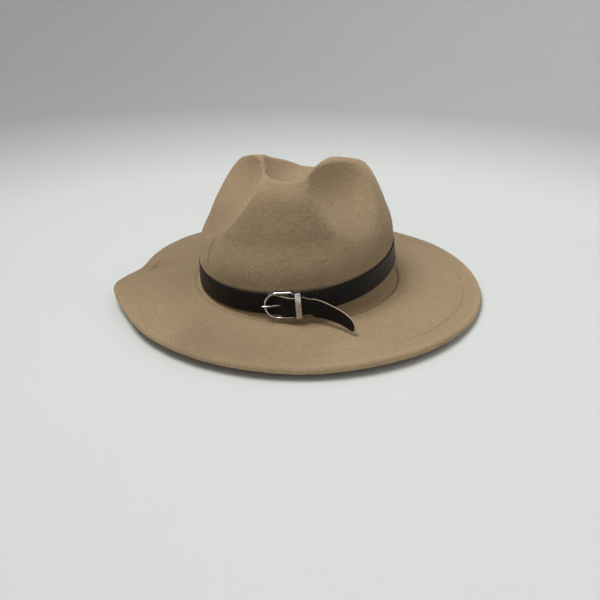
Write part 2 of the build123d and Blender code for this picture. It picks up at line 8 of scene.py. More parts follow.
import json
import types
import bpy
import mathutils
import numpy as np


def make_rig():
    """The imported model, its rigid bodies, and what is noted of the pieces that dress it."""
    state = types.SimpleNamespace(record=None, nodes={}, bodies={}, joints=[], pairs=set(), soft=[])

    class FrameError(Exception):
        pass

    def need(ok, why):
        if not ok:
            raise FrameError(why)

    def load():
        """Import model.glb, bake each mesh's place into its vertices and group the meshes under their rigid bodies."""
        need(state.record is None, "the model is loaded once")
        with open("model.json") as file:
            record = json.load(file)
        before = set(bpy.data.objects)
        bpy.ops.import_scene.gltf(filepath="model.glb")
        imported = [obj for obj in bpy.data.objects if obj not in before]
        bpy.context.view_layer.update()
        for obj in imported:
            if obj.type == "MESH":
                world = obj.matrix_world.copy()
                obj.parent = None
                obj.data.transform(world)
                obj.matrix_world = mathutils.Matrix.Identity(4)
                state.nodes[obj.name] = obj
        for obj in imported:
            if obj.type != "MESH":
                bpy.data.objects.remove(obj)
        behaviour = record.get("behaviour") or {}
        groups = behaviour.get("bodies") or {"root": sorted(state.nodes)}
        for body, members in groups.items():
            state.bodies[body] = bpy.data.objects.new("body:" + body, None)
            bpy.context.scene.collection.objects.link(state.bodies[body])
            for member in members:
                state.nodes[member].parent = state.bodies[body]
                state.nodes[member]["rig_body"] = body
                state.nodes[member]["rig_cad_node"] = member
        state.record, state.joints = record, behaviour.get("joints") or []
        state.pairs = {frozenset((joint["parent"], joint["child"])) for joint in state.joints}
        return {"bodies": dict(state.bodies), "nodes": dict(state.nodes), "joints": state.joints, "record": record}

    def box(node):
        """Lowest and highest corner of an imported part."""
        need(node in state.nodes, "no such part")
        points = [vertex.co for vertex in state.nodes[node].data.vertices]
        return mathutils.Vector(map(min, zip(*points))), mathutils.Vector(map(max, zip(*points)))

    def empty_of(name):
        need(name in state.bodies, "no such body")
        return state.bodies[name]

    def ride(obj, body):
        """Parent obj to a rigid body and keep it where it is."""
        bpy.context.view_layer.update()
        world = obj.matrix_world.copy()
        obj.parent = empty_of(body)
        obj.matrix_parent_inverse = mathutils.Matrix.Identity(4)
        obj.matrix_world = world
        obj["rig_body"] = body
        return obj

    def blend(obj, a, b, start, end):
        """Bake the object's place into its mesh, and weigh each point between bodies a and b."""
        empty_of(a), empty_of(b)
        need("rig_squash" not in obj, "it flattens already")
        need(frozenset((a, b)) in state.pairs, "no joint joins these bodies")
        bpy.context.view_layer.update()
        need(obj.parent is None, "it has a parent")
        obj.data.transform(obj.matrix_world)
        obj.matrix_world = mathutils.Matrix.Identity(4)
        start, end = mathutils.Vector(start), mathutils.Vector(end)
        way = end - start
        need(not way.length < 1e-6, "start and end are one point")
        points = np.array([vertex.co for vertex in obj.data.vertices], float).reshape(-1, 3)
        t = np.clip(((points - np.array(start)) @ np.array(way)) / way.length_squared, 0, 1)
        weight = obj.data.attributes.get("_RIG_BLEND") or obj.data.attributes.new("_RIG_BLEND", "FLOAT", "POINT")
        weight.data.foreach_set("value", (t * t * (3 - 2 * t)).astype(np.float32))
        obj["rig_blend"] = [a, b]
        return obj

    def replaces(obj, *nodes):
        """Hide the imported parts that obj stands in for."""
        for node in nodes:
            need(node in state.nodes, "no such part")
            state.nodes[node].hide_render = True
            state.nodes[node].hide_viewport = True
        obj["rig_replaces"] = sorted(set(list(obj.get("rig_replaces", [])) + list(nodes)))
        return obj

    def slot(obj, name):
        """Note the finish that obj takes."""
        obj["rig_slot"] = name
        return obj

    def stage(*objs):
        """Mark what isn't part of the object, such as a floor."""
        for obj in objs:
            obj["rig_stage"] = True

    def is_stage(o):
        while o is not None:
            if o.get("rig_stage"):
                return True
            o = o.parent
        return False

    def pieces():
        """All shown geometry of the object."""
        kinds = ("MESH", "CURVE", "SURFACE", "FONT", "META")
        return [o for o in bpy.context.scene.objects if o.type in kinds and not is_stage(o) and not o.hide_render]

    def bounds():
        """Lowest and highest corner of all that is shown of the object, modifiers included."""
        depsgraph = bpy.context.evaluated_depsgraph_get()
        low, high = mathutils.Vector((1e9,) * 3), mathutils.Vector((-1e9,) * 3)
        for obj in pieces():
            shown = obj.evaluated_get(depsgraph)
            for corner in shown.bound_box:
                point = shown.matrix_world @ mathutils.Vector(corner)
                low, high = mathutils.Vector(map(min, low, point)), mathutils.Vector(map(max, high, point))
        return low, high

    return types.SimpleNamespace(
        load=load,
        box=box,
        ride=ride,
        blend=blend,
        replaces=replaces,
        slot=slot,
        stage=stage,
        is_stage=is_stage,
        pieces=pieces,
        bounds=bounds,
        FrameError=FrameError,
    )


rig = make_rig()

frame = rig.load()
CAD_BOX = [list(map(float, v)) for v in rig.bounds()]

import json
import math

import bmesh
import bpy
import numpy as np
from mathutils import Matrix, Vector

NODES = frame["nodes"]
MM = 0.001

# ------------------------------------------------------------------ driving sizes (mm)
_, felt_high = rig.box("felt_body")
EDGE_X, EDGE_Y, EDGE_Z = felt_high.x / MM, felt_high.y / MM, 6.0  # brim's outer edge
EDGE_R = EDGE_Z / 2  # rounding of that edge
FOOT_X, FOOT_Y, FOOT_Z = 87.0, 103.0, 9.0  # where the crown meets the brim
CONE_INSET = 2.5  # the brim's slope is measured to this far inside the edge
FELT_THICK = 2.6
HEM_WIDTH = 15.0
FOOT_SEAM = 3.3  # sewn line round the foot of the crown, out from it
WIRE_INSET = 3.4  # edge wire, in from the brim's edge

# the belt's tilted plane, and its inside face at the lower edge
BELT_WIDTH, BELT_THICK = 16.2, 1.3
BELT_IN_X, BELT_IN_Y = 87.6, 103.1
BELT_TAPER_X, BELT_TAPER_Y = 0.016, 0.019  # share lost by the upper edge
BELT_ORIGIN = np.array([0.0, -0.7, 21.75])
BELT_X = np.array([1.0, 0.0, 0.073]) / math.hypot(1.0, 0.073)
BELT_Z = np.array([-0.073, -0.070, 1.0]) / math.sqrt(0.073**2 + 0.07**2 + 1)
BELT_Y = np.cross(BELT_Z, BELT_X)


# ------------------------------------------------------------------ maths helpers
def lattice(cells, seed):
    """Repeatable random value in -1..1 for each whole-numbered cell."""
    cells = cells.astype(np.uint32)
    with np.errstate(over="ignore"):
        mixed = (
            cells[..., 0] * np.uint32(374761393)
            + cells[..., 1] * np.uint32(668265263)
            + cells[..., 2] * np.uint32(2246822519)
            + np.uint32((seed * 974711) & 0xFFFFFFFF)
        )
        mixed = (mixed ^ (mixed >> np.uint32(13))) * np.uint32(1274126177)
        mixed = (mixed ^ (mixed >> np.uint32(16))) * np.uint32(2654435761)
        mixed = mixed ^ (mixed >> np.uint32(15))
    return mixed.astype(np.float64) / 4294967295.0 * 2 - 1


def noise3(points, size, seed):
    """Smooth value noise in -1..1, with features of about the given size."""
    scaled = np.asarray(points, float) / size + 1000.0
    cells = np.floor(scaled).astype(np.int64)
    part = scaled - cells
    part = part * part * (3 - 2 * part)
    total = np.zeros(scaled.shape[:-1])
    for corner in np.ndindex(2, 2, 2):
        weight = np.where(corner, part, 1 - part)
        weight = weight[..., 0] * weight[..., 1] * weight[..., 2]
        total += weight * lattice(cells + corner, seed)
    return total


def smooth(value, start, end):
    """Eased step from 0 at start to 1 at end."""
    ratio = np.clip((np.asarray(value, float) - start) / (end - start), 0, 1)
    return ratio * ratio * (3 - 2 * ratio)


def bell(distance, width):
    return np.exp(-((distance / width) ** 2))


def soft(depth, width):
    """0 well below 0 and depth itself well above, rounded over about width."""
    return (depth + np.sqrt(depth * depth + width * width)) / 2


def smooth_min(first, second, width):
    return (first + second - np.sqrt((first - second) ** 2 + width * width)) / 2


def reach(x, y, half_x, half_y):
    """Distance from the axis, 1 on the ellipse."""
    return np.sqrt((x / half_x) ** 2 + (y / half_y) ** 2)


def unit(vectors):
    vectors = np.asarray(vectors, float)
    return vectors / np.maximum(np.linalg.norm(vectors, axis=-1, keepdims=True), 1e-9)


def outward(points):
    """Level unit vectors pointing away from the Z axis."""
    return unit(points * np.array([1, 1, 0]))


def spline(xs, ys, x):
    """Natural cubic spline through (xs, ys), read at x."""
    xs, ys = np.asarray(xs, float), np.asarray(ys, float)
    count = len(xs)
    gap = np.diff(xs)
    matrix = np.zeros((count, count))
    target = np.zeros(count)
    matrix[0, 0] = matrix[-1, -1] = 1
    for k in range(1, count - 1):
        matrix[k, k - 1 : k + 2] = gap[k - 1], 2 * (gap[k - 1] + gap[k]), gap[k]
        target[k] = 6 * ((ys[k + 1] - ys[k]) / gap[k] - (ys[k] - ys[k - 1]) / gap[k - 1])
    bend = np.linalg.solve(matrix, target)
    k = np.clip(np.searchsorted(xs, x) - 1, 0, count - 2)
    past = x - xs[k]
    left = xs[k + 1] - x
    return (
        bend[k] * left**3 / (6 * gap[k])
        + bend[k + 1] * past**3 / (6 * gap[k])
        + (ys[k] / gap[k] - bend[k] * gap[k] / 6) * left
        + (ys[k + 1] / gap[k] - bend[k + 1] * gap[k] / 6) * past
    )


def lengths_along(points):
    return np.r_[0, np.cumsum(np.linalg.norm(np.diff(points, axis=0), axis=1))]


def interpolate(where, lengths, table):
    return np.stack([np.interp(where, lengths, column) for column in table.T], 1)


def curve_through(points, count):
    """count points evenly spread along a spline through points."""
    points = np.asarray(points, float)
    chords = lengths_along(points)
    where = np.linspace(0, chords[-1], max(count * 4, 200))
    dense = np.stack([spline(chords, column, where) for column in points.T], 1)
    lengths = lengths_along(dense)
    return interpolate(np.linspace(0, lengths[-1], count), lengths, dense)


def ellipse(half_x, half_y, z, count=900, start=0.0, arc=360.0):
    """Level ellipse, or an arc of one in degrees, from +X round towards +Y."""
    steps = count if arc >= 360 else count - 1
    angle = np.radians(start + np.arange(count) * arc / steps)
    level = np.full(count, float(z))
    return np.stack([half_x * np.cos(angle), half_y * np.sin(angle), level], -1)


def shell(rows, count):
    """Grid of ellipses, one for each row of half width, half length and height."""
    return np.stack([ellipse(half_x, half_y, z, count) for half_x, half_y, z in rows])


def between(start, end, ratios):
    """Rows at the given ratios from start to end."""
    start, end = np.array(start, float), np.array(end, float)
    return [start + (end - start) * ratio for ratio in ratios]


# ------------------------------------------------------------------ mesh helpers
def shade_smooth(mesh):
    mesh.polygons.foreach_set("use_smooth", [True] * len(mesh.polygons))


def make_mesh(name, verts, faces, smooth_shade=True):
    mesh = bpy.data.meshes.new(name)
    mesh.from_pydata([tuple(v) for v in np.asarray(verts) * MM], [], [tuple(f) for f in faces])
    mesh.update()
    ob = bpy.data.objects.new(name, mesh)
    bpy.context.scene.collection.objects.link(ob)
    if smooth_shade:
        shade_smooth(mesh)
    return ob


def turn_faces_out(ob):
    bm = bmesh.new()
    bm.from_mesh(ob.data)
    bmesh.ops.recalc_face_normals(bm, faces=bm.faces)
    bm.to_mesh(ob.data)
    bm.free()


def make_solid(name, verts, faces, smooth_shade=True):
    ob = make_mesh(name, verts, faces, smooth_shade)
    turn_faces_out(ob)
    return ob


def grid_faces(rows, cols, wrap_cols=True, wrap_rows=False, flip=False):
    row = np.arange(rows if wrap_rows else rows - 1)
    col = np.arange(cols if wrap_cols else cols - 1)
    row, col = np.meshgrid(row, col, indexing="ij")
    row2, col2 = (row + 1) % rows, (col + 1) % cols
    corners = [row * cols + col, row * cols + col2, row2 * cols + col2, row2 * cols + col]
    faces = np.stack(corners, -1).reshape(-1, 4)
    return faces[:, ::-1] if flip else faces


def fan_faces(rows, cols):
    """Fans closing a grid's first and last rows onto two points stored after the grid."""
    tip, last = rows * cols, (rows - 1) * cols
    first_fan = [[(i + 1) % cols, i, tip] for i in range(cols)]
    return first_fan + [[last + i, last + (i + 1) % cols, tip + 1] for i in range(cols)]


def capped_faces(rows, cols):
    """Grid faces with one flat polygon over each end."""
    last = (rows - 1) * cols
    caps = [list(range(cols))[::-1], list(range(last, last + cols))]
    return grid_faces(rows, cols).tolist() + caps


def get_points(ob):
    return np.array([v.co for v in ob.data.vertices]) / MM


def set_points(ob, points):
    ob.data.vertices.foreach_set("co", (points * MM).astype(np.float32).ravel())


def mark(ob, slot, replaced=None, body="hat"):
    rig.ride(ob, body)
    if replaced:
        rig.replaces(ob, replaced)
    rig.slot(ob, slot)


# ------------------------------------------------------------------ tubes and stitches
def rings(centres, tangent, toward, radii, sides):
    """Rings of points square to tangent, one round each centre."""
    side = unit(np.cross(tangent, toward))
    up = np.cross(side, tangent)
    angle = np.arange(sides) * 2 * np.pi / sides
    around = side[:, None] * np.cos(angle)[:, None] + up[:, None] * np.sin(angle)[:, None]
    return centres[:, None] + radii[..., None] * around


def tube(name, path, radius, sides, closed=False, lay=0.0, depth=0.0):
    """Round tube along path; lay and depth are the pitch and groove of two twisted strands."""
    path = np.asarray(path, float)
    if closed:
        tangent = unit(np.roll(path, -1, 0) - np.roll(path, 1, 0))
    else:
        tangent = unit(np.gradient(path, axis=0))
    steep = abs(tangent[:, 2]).max() > 0.95
    toward = np.array([0, 1.0, 0.2] if steep else [0, 0, 1.0])
    twist = lengths_along(path)[:, None] * (2 * np.pi / lay) if lay else np.zeros((len(path), 1))
    phase = np.arange(sides) * 2 * np.pi / sides + twist
    radii = radius * (1 - depth * (0.5 + 0.5 * np.cos(2 * phase)))
    verts = rings(path, tangent, toward, radii, sides).reshape(-1, 3)
    faces = grid_faces(len(path), sides, wrap_rows=closed).tolist()
    if not closed:
        first_tip = path[:1] - tangent[:1] * radius * 0.5
        last_tip = path[-1:] + tangent[-1:] * radius * 0.5
        verts = np.concatenate([verts, first_tip, last_tip])
        faces += fan_faces(len(path), sides)
    return make_solid(name, verts, faces)


def stitches(name, path, normal, length, gap, radius, closed=True, dip=0.5):
    """Separate stitches along path, each rising from one hole and diving into the next."""
    path = np.asarray(path, float)
    normal = np.broadcast_to(np.asarray(normal, float), path.shape)
    if closed:
        path = np.concatenate([path, path[:1]])
        normal = np.concatenate([normal, normal[:1]])
    lengths = lengths_along(path)
    count = int(lengths[-1] // (length + gap))
    pitch = lengths[-1] / count
    rows, sides = 7, 6
    across = np.linspace(-1, 1, rows)
    radii = (radius * (1 - 0.25 * across**6))[:, None]
    one_stitch = capped_faces(rows, sides)
    verts, faces = [], []
    rng = np.random.default_rng(4)
    for i in range(count):
        start = i * pitch + rng.uniform(-0.12, 0.12)
        where = np.linspace(start, start + length * rng.uniform(0.93, 1.05), rows)
        lift = unit(interpolate(where, lengths, normal))
        centres = interpolate(where, lengths, path) + lift * (-dip * across**4)[:, None]
        tangent = unit(np.gradient(centres, axis=0))
        verts.append(rings(centres, tangent, lift, radii, sides).reshape(-1, 3))
        base = i * rows * sides
        faces += [[base + k for k in face] for face in one_stitch]
    return make_solid(name, np.concatenate(verts), faces)


# ------------------------------------------------------------------ bends of the brim
# (degrees from -X towards the front, how far the brim's edge is drawn in)
CRUMPLE_PULL = np.array([
    (-70, 0.0), (-40, 0.5), (-16, 3.5), (-4, 7.2), (5, 8.4), (11, 5.6), (16, 2.6),
    (22, -0.6), (28, -1.8), (34, -0.4), (42, 1.8), (52, 0.8), (62, 0.0), (100, 0.0),
])


def brim_ratio(x, y):
    """0 at the crown, 1 at the brim's edge."""
    past_foot = reach(x, y, FOOT_X, FOOT_Y) - 1
    to_edge = 1 - reach(x, y, EDGE_X, EDGE_Y)
    total = past_foot + np.maximum(to_edge, 0)
    return np.clip(past_foot / np.maximum(total, 1e-6), 0, 1) * (past_foot > 0)


def warp(points):
    """Bends brim points: a crumple on the wearer's right, and slow waves round the edge."""
    points = np.array(points, float)
    x, y = points[..., 0].copy(), points[..., 1].copy()
    ratio = brim_ratio(x, y)
    angle = np.arctan2(y / EDGE_Y, x / EDGE_X)
    turn = np.degrees(np.arctan2(-y / EDGE_Y, -x / EDGE_X))  # 0 at -X, rising towards the front
    # crumple: a crest, and a trough behind it
    crest = 2.6 * bell(turn - 25.0, 9.0) * smooth(ratio, 0.1, 0.95)
    trough = 2.9 * bell(turn - 5.5, 6.5) * smooth(ratio, 0.15, 0.8)
    rise = crest - trough * (1 - 0.35 * smooth(ratio, 0.85, 1.0))
    # the crumple draws the edge in, as does a gentler bend at the back on the wearer's left
    pull = spline(CRUMPLE_PULL[:, 0], CRUMPLE_PULL[:, 1], np.clip(turn, -70.0, 100.0)) * ratio**1.5
    pull = pull + 3.0 * bell(np.degrees(angle) - 62, 15.0) * ratio**2
    # the front of the brim springs clear of the table
    lift = 5.0 * smooth(turn, 14, 34) * (1 - smooth(turn, 126, 168)) * (turn > 0)
    rise = rise + lift * smooth(ratio, 0.15, 1.0)
    # waves round the edge, and an uneven surface
    waves = 0.9 * np.sin(2 * angle + 0.6) + 0.6 * np.sin(3 * angle + 2.1) + 0.8
    rise = rise + waves * ratio**1.3 * 0.8
    level = np.stack([x, y, np.zeros_like(x)], -1)
    rise = rise + 0.5 * noise3(level, 42.0, 5) * smooth(ratio, 0.05, 0.4)
    radius = np.maximum(np.hypot(x, y), 1e-6)
    points[..., 0] = x - pull * x / radius + 2.3 * smooth(ratio, 0.0, 1.0)
    points[..., 1] = y - pull * y / radius
    # nothing sinks into the table
    height = points[..., 2] + np.maximum(rise, -2.6)
    points[..., 2] = 0.35 + soft(height - 0.35, 0.6)
    return points


# ------------------------------------------------------------------ shape of the crown
CROWN = np.array([  # height, half width, half length, from the top down
    (123.6, 0.0, 0.0), (123.2, 10.0, 13.0), (121.9, 21.0, 26.5), (119.9, 31.0, 38.0),
    (117.6, 39.6, 47.4), (114.2, 47.4, 55.8), (109.0, 54.5, 63.5), (101.0, 61.5, 71.5),
    (92.0, 67.0, 78.0), (74.0, 75.2, 87.2), (55.0, 80.8, 94.2), (38.0, 84.2, 98.8),
    (24.0, 85.9, 101.3), (14.5, 86.7, 102.6), (11.2, 87.3, 103.3),
])
# rim planes of the two front pinches: a point, outward direction, roll-over, depth
PINCHES = [
    ((41.3, -58.3, 85.6), (0.656, -0.454, 0.603), 1.9, 2.35),
    ((-35.4, -65.4, 85.0), (-0.712, -0.406, 0.573), 1.1, 2.45),
]
# short raised folds running down from the pinches: top, bottom, height, width
FOLDS = [
    ((-54.0, -66.0, 66.0), (-58.0, -77.0, 26.0), 3.2, 2.1),
    ((72.0, -33.0, 70.0), (79.0, -37.0, 38.0), 1.5, 2.6),
]


def lobe_top(x, y):
    """Height of the two lobes either side of the crease."""
    along = y + 30.0
    return 118.5 + 0.045 * x - 0.0018 * along**2 - 0.04 * along - 5.0 * smooth(y, -22, 24)


def crease(x, y):
    """Surface of the trench pressed along the top of the crown."""
    floor_z = 329.0 - np.sqrt(np.maximum(240.5**2 - (y - 30.0) ** 2, 1.0)) + 0.9 * np.sin(y / 17.0)
    half_width = 23.0 + 8.0 * smooth(y, -52, 15) - 3.0 * smooth(y, 25, 62)
    centre = 0.7 * np.sin(y / 23.0)
    return floor_z + 27.5 * (np.abs(x - centre) / half_width) ** 3.4


def fold(points):
    """Presses the pinches, the centre crease and the small side folds into crown points."""
    points = np.array(points, float)
    for on_rim, facing, roll, depth in PINCHES:
        facing = unit(facing)
        past = (points - np.array(on_rim)) @ facing
        push = depth * soft(past, roll) * smooth(points[..., 2], 30, 60)
        points = points - push[..., None] * facing
    x, y, z = points[..., 0], points[..., 1], points[..., 2]
    lobe = lobe_top(x, y)
    top = smooth_min(z, lobe + 0.12 * np.maximum(z - lobe, 0), 2.0)
    top = smooth_min(top, crease(x, y), 3.4)
    points[..., 2] += (top - z) * smooth(z, 70, 84)
    for start, end, height, width in FOLDS:
        start = np.array(start)
        line = np.array(end) - start
        ratio = np.clip(((points - start) @ line) / (line @ line), 0, 1)
        offset = points - (start + ratio[..., None] * line)
        out = outward(points)
        across = offset - np.sum(offset * out, -1)[..., None] * out
        distance = np.linalg.norm(across, axis=-1)
        taper = smooth(ratio, 0.0, 0.25) * (1 - smooth(ratio, 0.6, 1.0))
        taper = taper * (1 - smooth(points[..., 2], 70, 80))
        points = points + (height * bell(distance, width) * taper)[..., None] * out
    return points


def belt_draw(angle):
    """How far the belt is drawn in towards the felt at an angle round from the front."""
    angle = np.abs((np.asarray(angle, float) + math.pi) % (2 * math.pi) - math.pi)
    return 2.0 * smooth(angle, math.radians(32), math.radians(78))


def seat(points):
    """Sits the foot of the crown inside the belt, and lets it swell a little above."""
    offset = points - BELT_ORIGIN
    across, along, height = offset @ BELT_X, offset @ BELT_Y, offset @ BELT_Z
    rise = np.clip(height / BELT_WIDTH, -0.3, 1.3)
    draw = belt_draw(np.arctan2(across / BELT_IN_X, -along / BELT_IN_Y))
    half_x = BELT_IN_X * (1 - BELT_TAPER_X * rise) - draw
    half_y = BELT_IN_Y * (1 - BELT_TAPER_Y * rise) - draw
    now = reach(across, along, half_x, half_y)
    wanted = 1 - 0.0042 + 0.0135 * smooth(height, 15.6, 18.5)
    weight = smooth(height, -8, -0.5) * (1 - smooth(height, 19.0, 50.0))
    scale = 1 + (wanted / np.maximum(now, 0.3) - 1) * weight
    scale = np.where(now > 0.85, scale, 1.0)
    seated = points.copy()
    seated[..., 0] = points[..., 0] * scale
    seated[..., 1] = (points[..., 1] - BELT_ORIGIN[1]) * scale + BELT_ORIGIN[1]
    return seated


# ------------------------------------------------------------------ felt body
FELT_COLUMNS = 840
CROWN_ROWS = 210


def cone_z(half_x):
    """Height of the unbent brim's top at a half width."""
    slope_x = EDGE_X - CONE_INSET
    return EDGE_Z + (FOOT_Z - EDGE_Z) * (slope_x - half_x) / (slope_x - FOOT_X)


def under_z(half_x):
    """Height of the brim's underside at a half width."""
    return cone_z(half_x) - FELT_THICK


def from_edge(inset, z):
    """Row of the brim's profile at an inset from its edge."""
    return EDGE_X - inset, EDGE_Y - inset, z


def grid_normals(grid):
    around = np.roll(grid, -1, 1) - np.roll(grid, 1, 1)
    return unit(np.cross(np.gradient(grid, axis=0), around))


def outer_normals(crown):
    normals = grid_normals(crown)
    return normals if (normals[-1] * crown[-1])[:, :2].sum() > 0 else -normals


def crown_shell():
    """Outside of the crown, from just below the apex to the foot."""
    lengths = lengths_along(CROWN[:, [1, 0]])
    where = np.linspace(0, lengths[-1], CROWN_ROWS)
    rows = np.stack([spline(lengths, CROWN[:, k], where) for k in (1, 2, 0)], 1)
    crown = fold(shell(rows[1:], FELT_COLUMNS))
    lumps = noise3(crown, 34.0, 3) * 0.7 + noise3(crown, 15.0, 8) * 0.25
    lumps = lumps * smooth(crown[..., 2], 12, 35)
    return seat(crown + outer_normals(crown) * lumps[..., None])


def sink(grid, half_x, half_y, depth, width):
    """Lowers a line round the brim, most at the wearer's left and next most at the right."""
    distance = (reach(grid[..., 0], grid[..., 1], half_x, half_y) - 1) * (half_x + half_y) / 2
    side = np.degrees(np.arctan2(grid[..., 1] / half_y, grid[..., 0] / half_x))
    strength = 0.35 + 0.65 * bell(side + 5, 42.0) + 0.45 * bell(np.abs(side) - 178, 14.0)
    grid[..., 2] -= depth * strength * bell(distance, width)


def brim_top():
    """Brim's top from the crown's foot outwards, with the sewn lines sunk into it."""
    foot, edge = (FOOT_X, FOOT_Y, FOOT_Z), (EDGE_X - EDGE_R, EDGE_Y - EDGE_R, EDGE_Z)
    rows = [(FOOT_X + 1.3, FOOT_Y + 1.3, FOOT_Z + 0.55), (FOOT_X + 2.4, FOOT_Y + 2.4, FOOT_Z + 0.05)]
    rows += between(foot, edge, np.linspace(0.05, 1.0, 62))
    # extra rows at the sewn lines; rows that crowd together are then thinned out
    seam_lines = [
        (EDGE_X - HEM_WIDTH, EDGE_Y - HEM_WIDTH, 0.8),
        (FOOT_X + FOOT_SEAM, FOOT_Y + FOOT_SEAM, 0.7),
    ]
    for half_x, half_y, spacing in seam_lines:
        for step in (-2, -1, 0, 1, 2):
            offset = step * spacing
            rows.append((half_x + offset, half_y + offset, cone_z(half_x + offset)))
    rows.sort(key=lambda row: row[0])
    kept = [rows[0]]
    for row in rows[1:]:
        if row[0] - kept[-1][0] > 0.45:
            kept.append(row)
    top = shell(kept, FELT_COLUMNS)
    seam_x, seam_y = FOOT_X + FOOT_SEAM, FOOT_Y + FOOT_SEAM
    sink(top, seam_x, seam_y, depth=0.85, width=0.9)
    sink(top, seam_x + 6.5, seam_y + 6.5, depth=0.45, width=1.6)
    sink(top, EDGE_X - HEM_WIDTH, EDGE_Y - HEM_WIDTH, depth=0.7, width=1.0)
    return top


def brim_under():
    """Rounded edge, the hem turned under it, and the underside back to the crown."""
    rows = []
    for k in range(1, 12):
        angle = math.pi * k / 12
        rows.append(from_edge(EDGE_R - EDGE_R * math.sin(angle), EDGE_R + EDGE_R * math.cos(angle)))
    rows += [from_edge(EDGE_R, 0.0), from_edge(4.6, 0.02)]
    hem_flat = from_edge(4.6, 0.0), from_edge(HEM_WIDTH - 0.8, 1.1)
    rows += between(*hem_flat, np.linspace(0.15, 1, 8))
    # the hem's raw edge: inset past the hem's width, height
    for inset, z in ((0.35, 1.35), (0.5, 2.2), (0.3, 3.2), (0.9, 3.86)):
        rows.append(from_edge(HEM_WIDTH + inset, z))
    outer = from_edge(HEM_WIDTH + 1.2, under_z(EDGE_X - HEM_WIDTH))
    inner = np.array([FOOT_X, FOOT_Y, FOOT_Z - FELT_THICK]) + (2.6 - FELT_THICK) * np.array([1, 1, 0])
    rows += between(outer, inner, np.linspace(0.02, 1, 34))
    rows += [inner + (-1.7, -1.7, 0.5), inner + (-2.5, -2.5, 1.6)]
    return shell(rows, FELT_COLUMNS)


def build_felt():
    crown = crown_shell()
    lining = crown - outer_normals(crown) * (FELT_THICK - 0.2)
    lining = lining[::-1][::2]  # foot to apex, every other row
    brim = warp(np.concatenate([brim_top(), brim_under()]))
    brim[..., 2] += 0.12 * noise3(brim, 26.0, 21)
    grid = np.concatenate([crown, brim, lining[1:]])
    # the felt's pebbled face
    points = grid.reshape(-1, 3)
    normals = grid_normals(grid).reshape(-1, 3)
    probe = crown.shape[0] * FELT_COLUMNS // 2  # a point half way down the crown
    if (normals[probe] * points[probe])[:2].sum() < 0:
        normals = -normals
    grain = 0.10 * noise3(points, 1.9, 31) + 0.10 * noise3(points, 1.2, 32)
    grain = grain + 0.09 * noise3(points, 4.5, 33)
    points = points + normals * grain[:, None]
    apex = fold(np.array([[0, 0, CROWN[0][0]]]))
    verts = np.concatenate([points, apex, apex - (0, 0, FELT_THICK)])
    rows = grid.shape[0]
    faces = grid_faces(rows, FELT_COLUMNS).tolist() + fan_faces(rows, FELT_COLUMNS)
    return make_solid("felt_hat", verts, faces)


felt = build_felt()
mark(felt, "wool_felt", "felt_body")

# ------------------------------------------------------------------ brim stitching and wire
UP, DOWN = (0, 0, 1.0), (0, 0, -1.0)
HEM_STITCH = dict(length=3.1, gap=0.55, radius=0.26)
FOOT_STITCH = dict(length=2.7, gap=0.5, radius=0.24)


def build_brim_stitching():
    half_x, half_y = EDGE_X - HEM_WIDTH, EDGE_Y - HEM_WIDTH
    upper = warp(ellipse(half_x, half_y, cone_z(half_x) - 0.45))
    hem_top = stitches("hem_stitches", upper, UP, **HEM_STITCH)
    lower = warp(ellipse(half_x + 1.6, half_y + 1.6, 0.86))
    hem_low = stitches("hem_stitches_under", lower, DOWN, **HEM_STITCH)
    mark(hem_top, "hem_thread")
    mark(hem_low, "hem_thread")
    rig.replaces(hem_top, "hem_stitching")
    half_x, half_y = FOOT_X + FOOT_SEAM, FOOT_Y + FOOT_SEAM
    foot_line = warp(ellipse(half_x, half_y, cone_z(half_x) - 0.55))
    mark(stitches("base_stitches", foot_line, UP, **FOOT_STITCH), "base_thread", "sweatband_stitching")


def build_edge_wire():
    """Wire in the fold of the brim, its ends joined by a ferrule at the back."""
    line = from_edge(WIRE_INSET, EDGE_R)
    wire_path = warp(ellipse(*line, count=600, start=90.6, arc=358.8))
    mark(tube("edge_wire", wire_path, radius=0.8, sides=8), "spring_wire", "brim_wire")
    ferrule_path = warp(ellipse(*line, count=24, start=88.0, arc=4.0))
    ferrule = tube("edge_wire_ferrule", ferrule_path, radius=1.2, sides=14)
    mark(ferrule, "ferrule_metal", "wire_ferrule")


build_brim_stitching()
build_edge_wire()

# ------------------------------------------------------------------ sweatband
BAND_FOOT_Z, BAND_HEIGHT, BAND_THICK = 6.0, 32.0, 0.85
BAND_FOOT_X, BAND_LEAN = 84.45, 3.3  # half width at the foot, and how much the top loses
BAND_OVAL, BAND_OVAL_TOP = 16.1, 14.6  # half length minus half width, at foot and top
_, band_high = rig.box("sweatband")
SLEEVE_X, SLEEVE_Y, SLEEVE_Z = 79.2, 93.75, band_high.z / MM - 1.7
BAND_STITCH = dict(length=2.1, gap=0.5, radius=0.2, dip=0.4)


def band_ellipse(z, inset=0.0):
    """Half width and half length of the band's outer face at z, or of a line inside it."""
    ratio = (z - BAND_FOOT_Z) / BAND_HEIGHT
    half_x = BAND_FOOT_X - BAND_LEAN * ratio - inset
    return half_x, half_x + BAND_OVAL + (BAND_OVAL_TOP - BAND_OVAL) * ratio


def band_back_y(x, z, proud):
    """Y at the back of the hat, this far proud of the band's inner face."""
    half_x, half_y = band_ellipse(z, BAND_THICK + proud)
    return half_y * np.sqrt(1 - (x / half_x) ** 2)


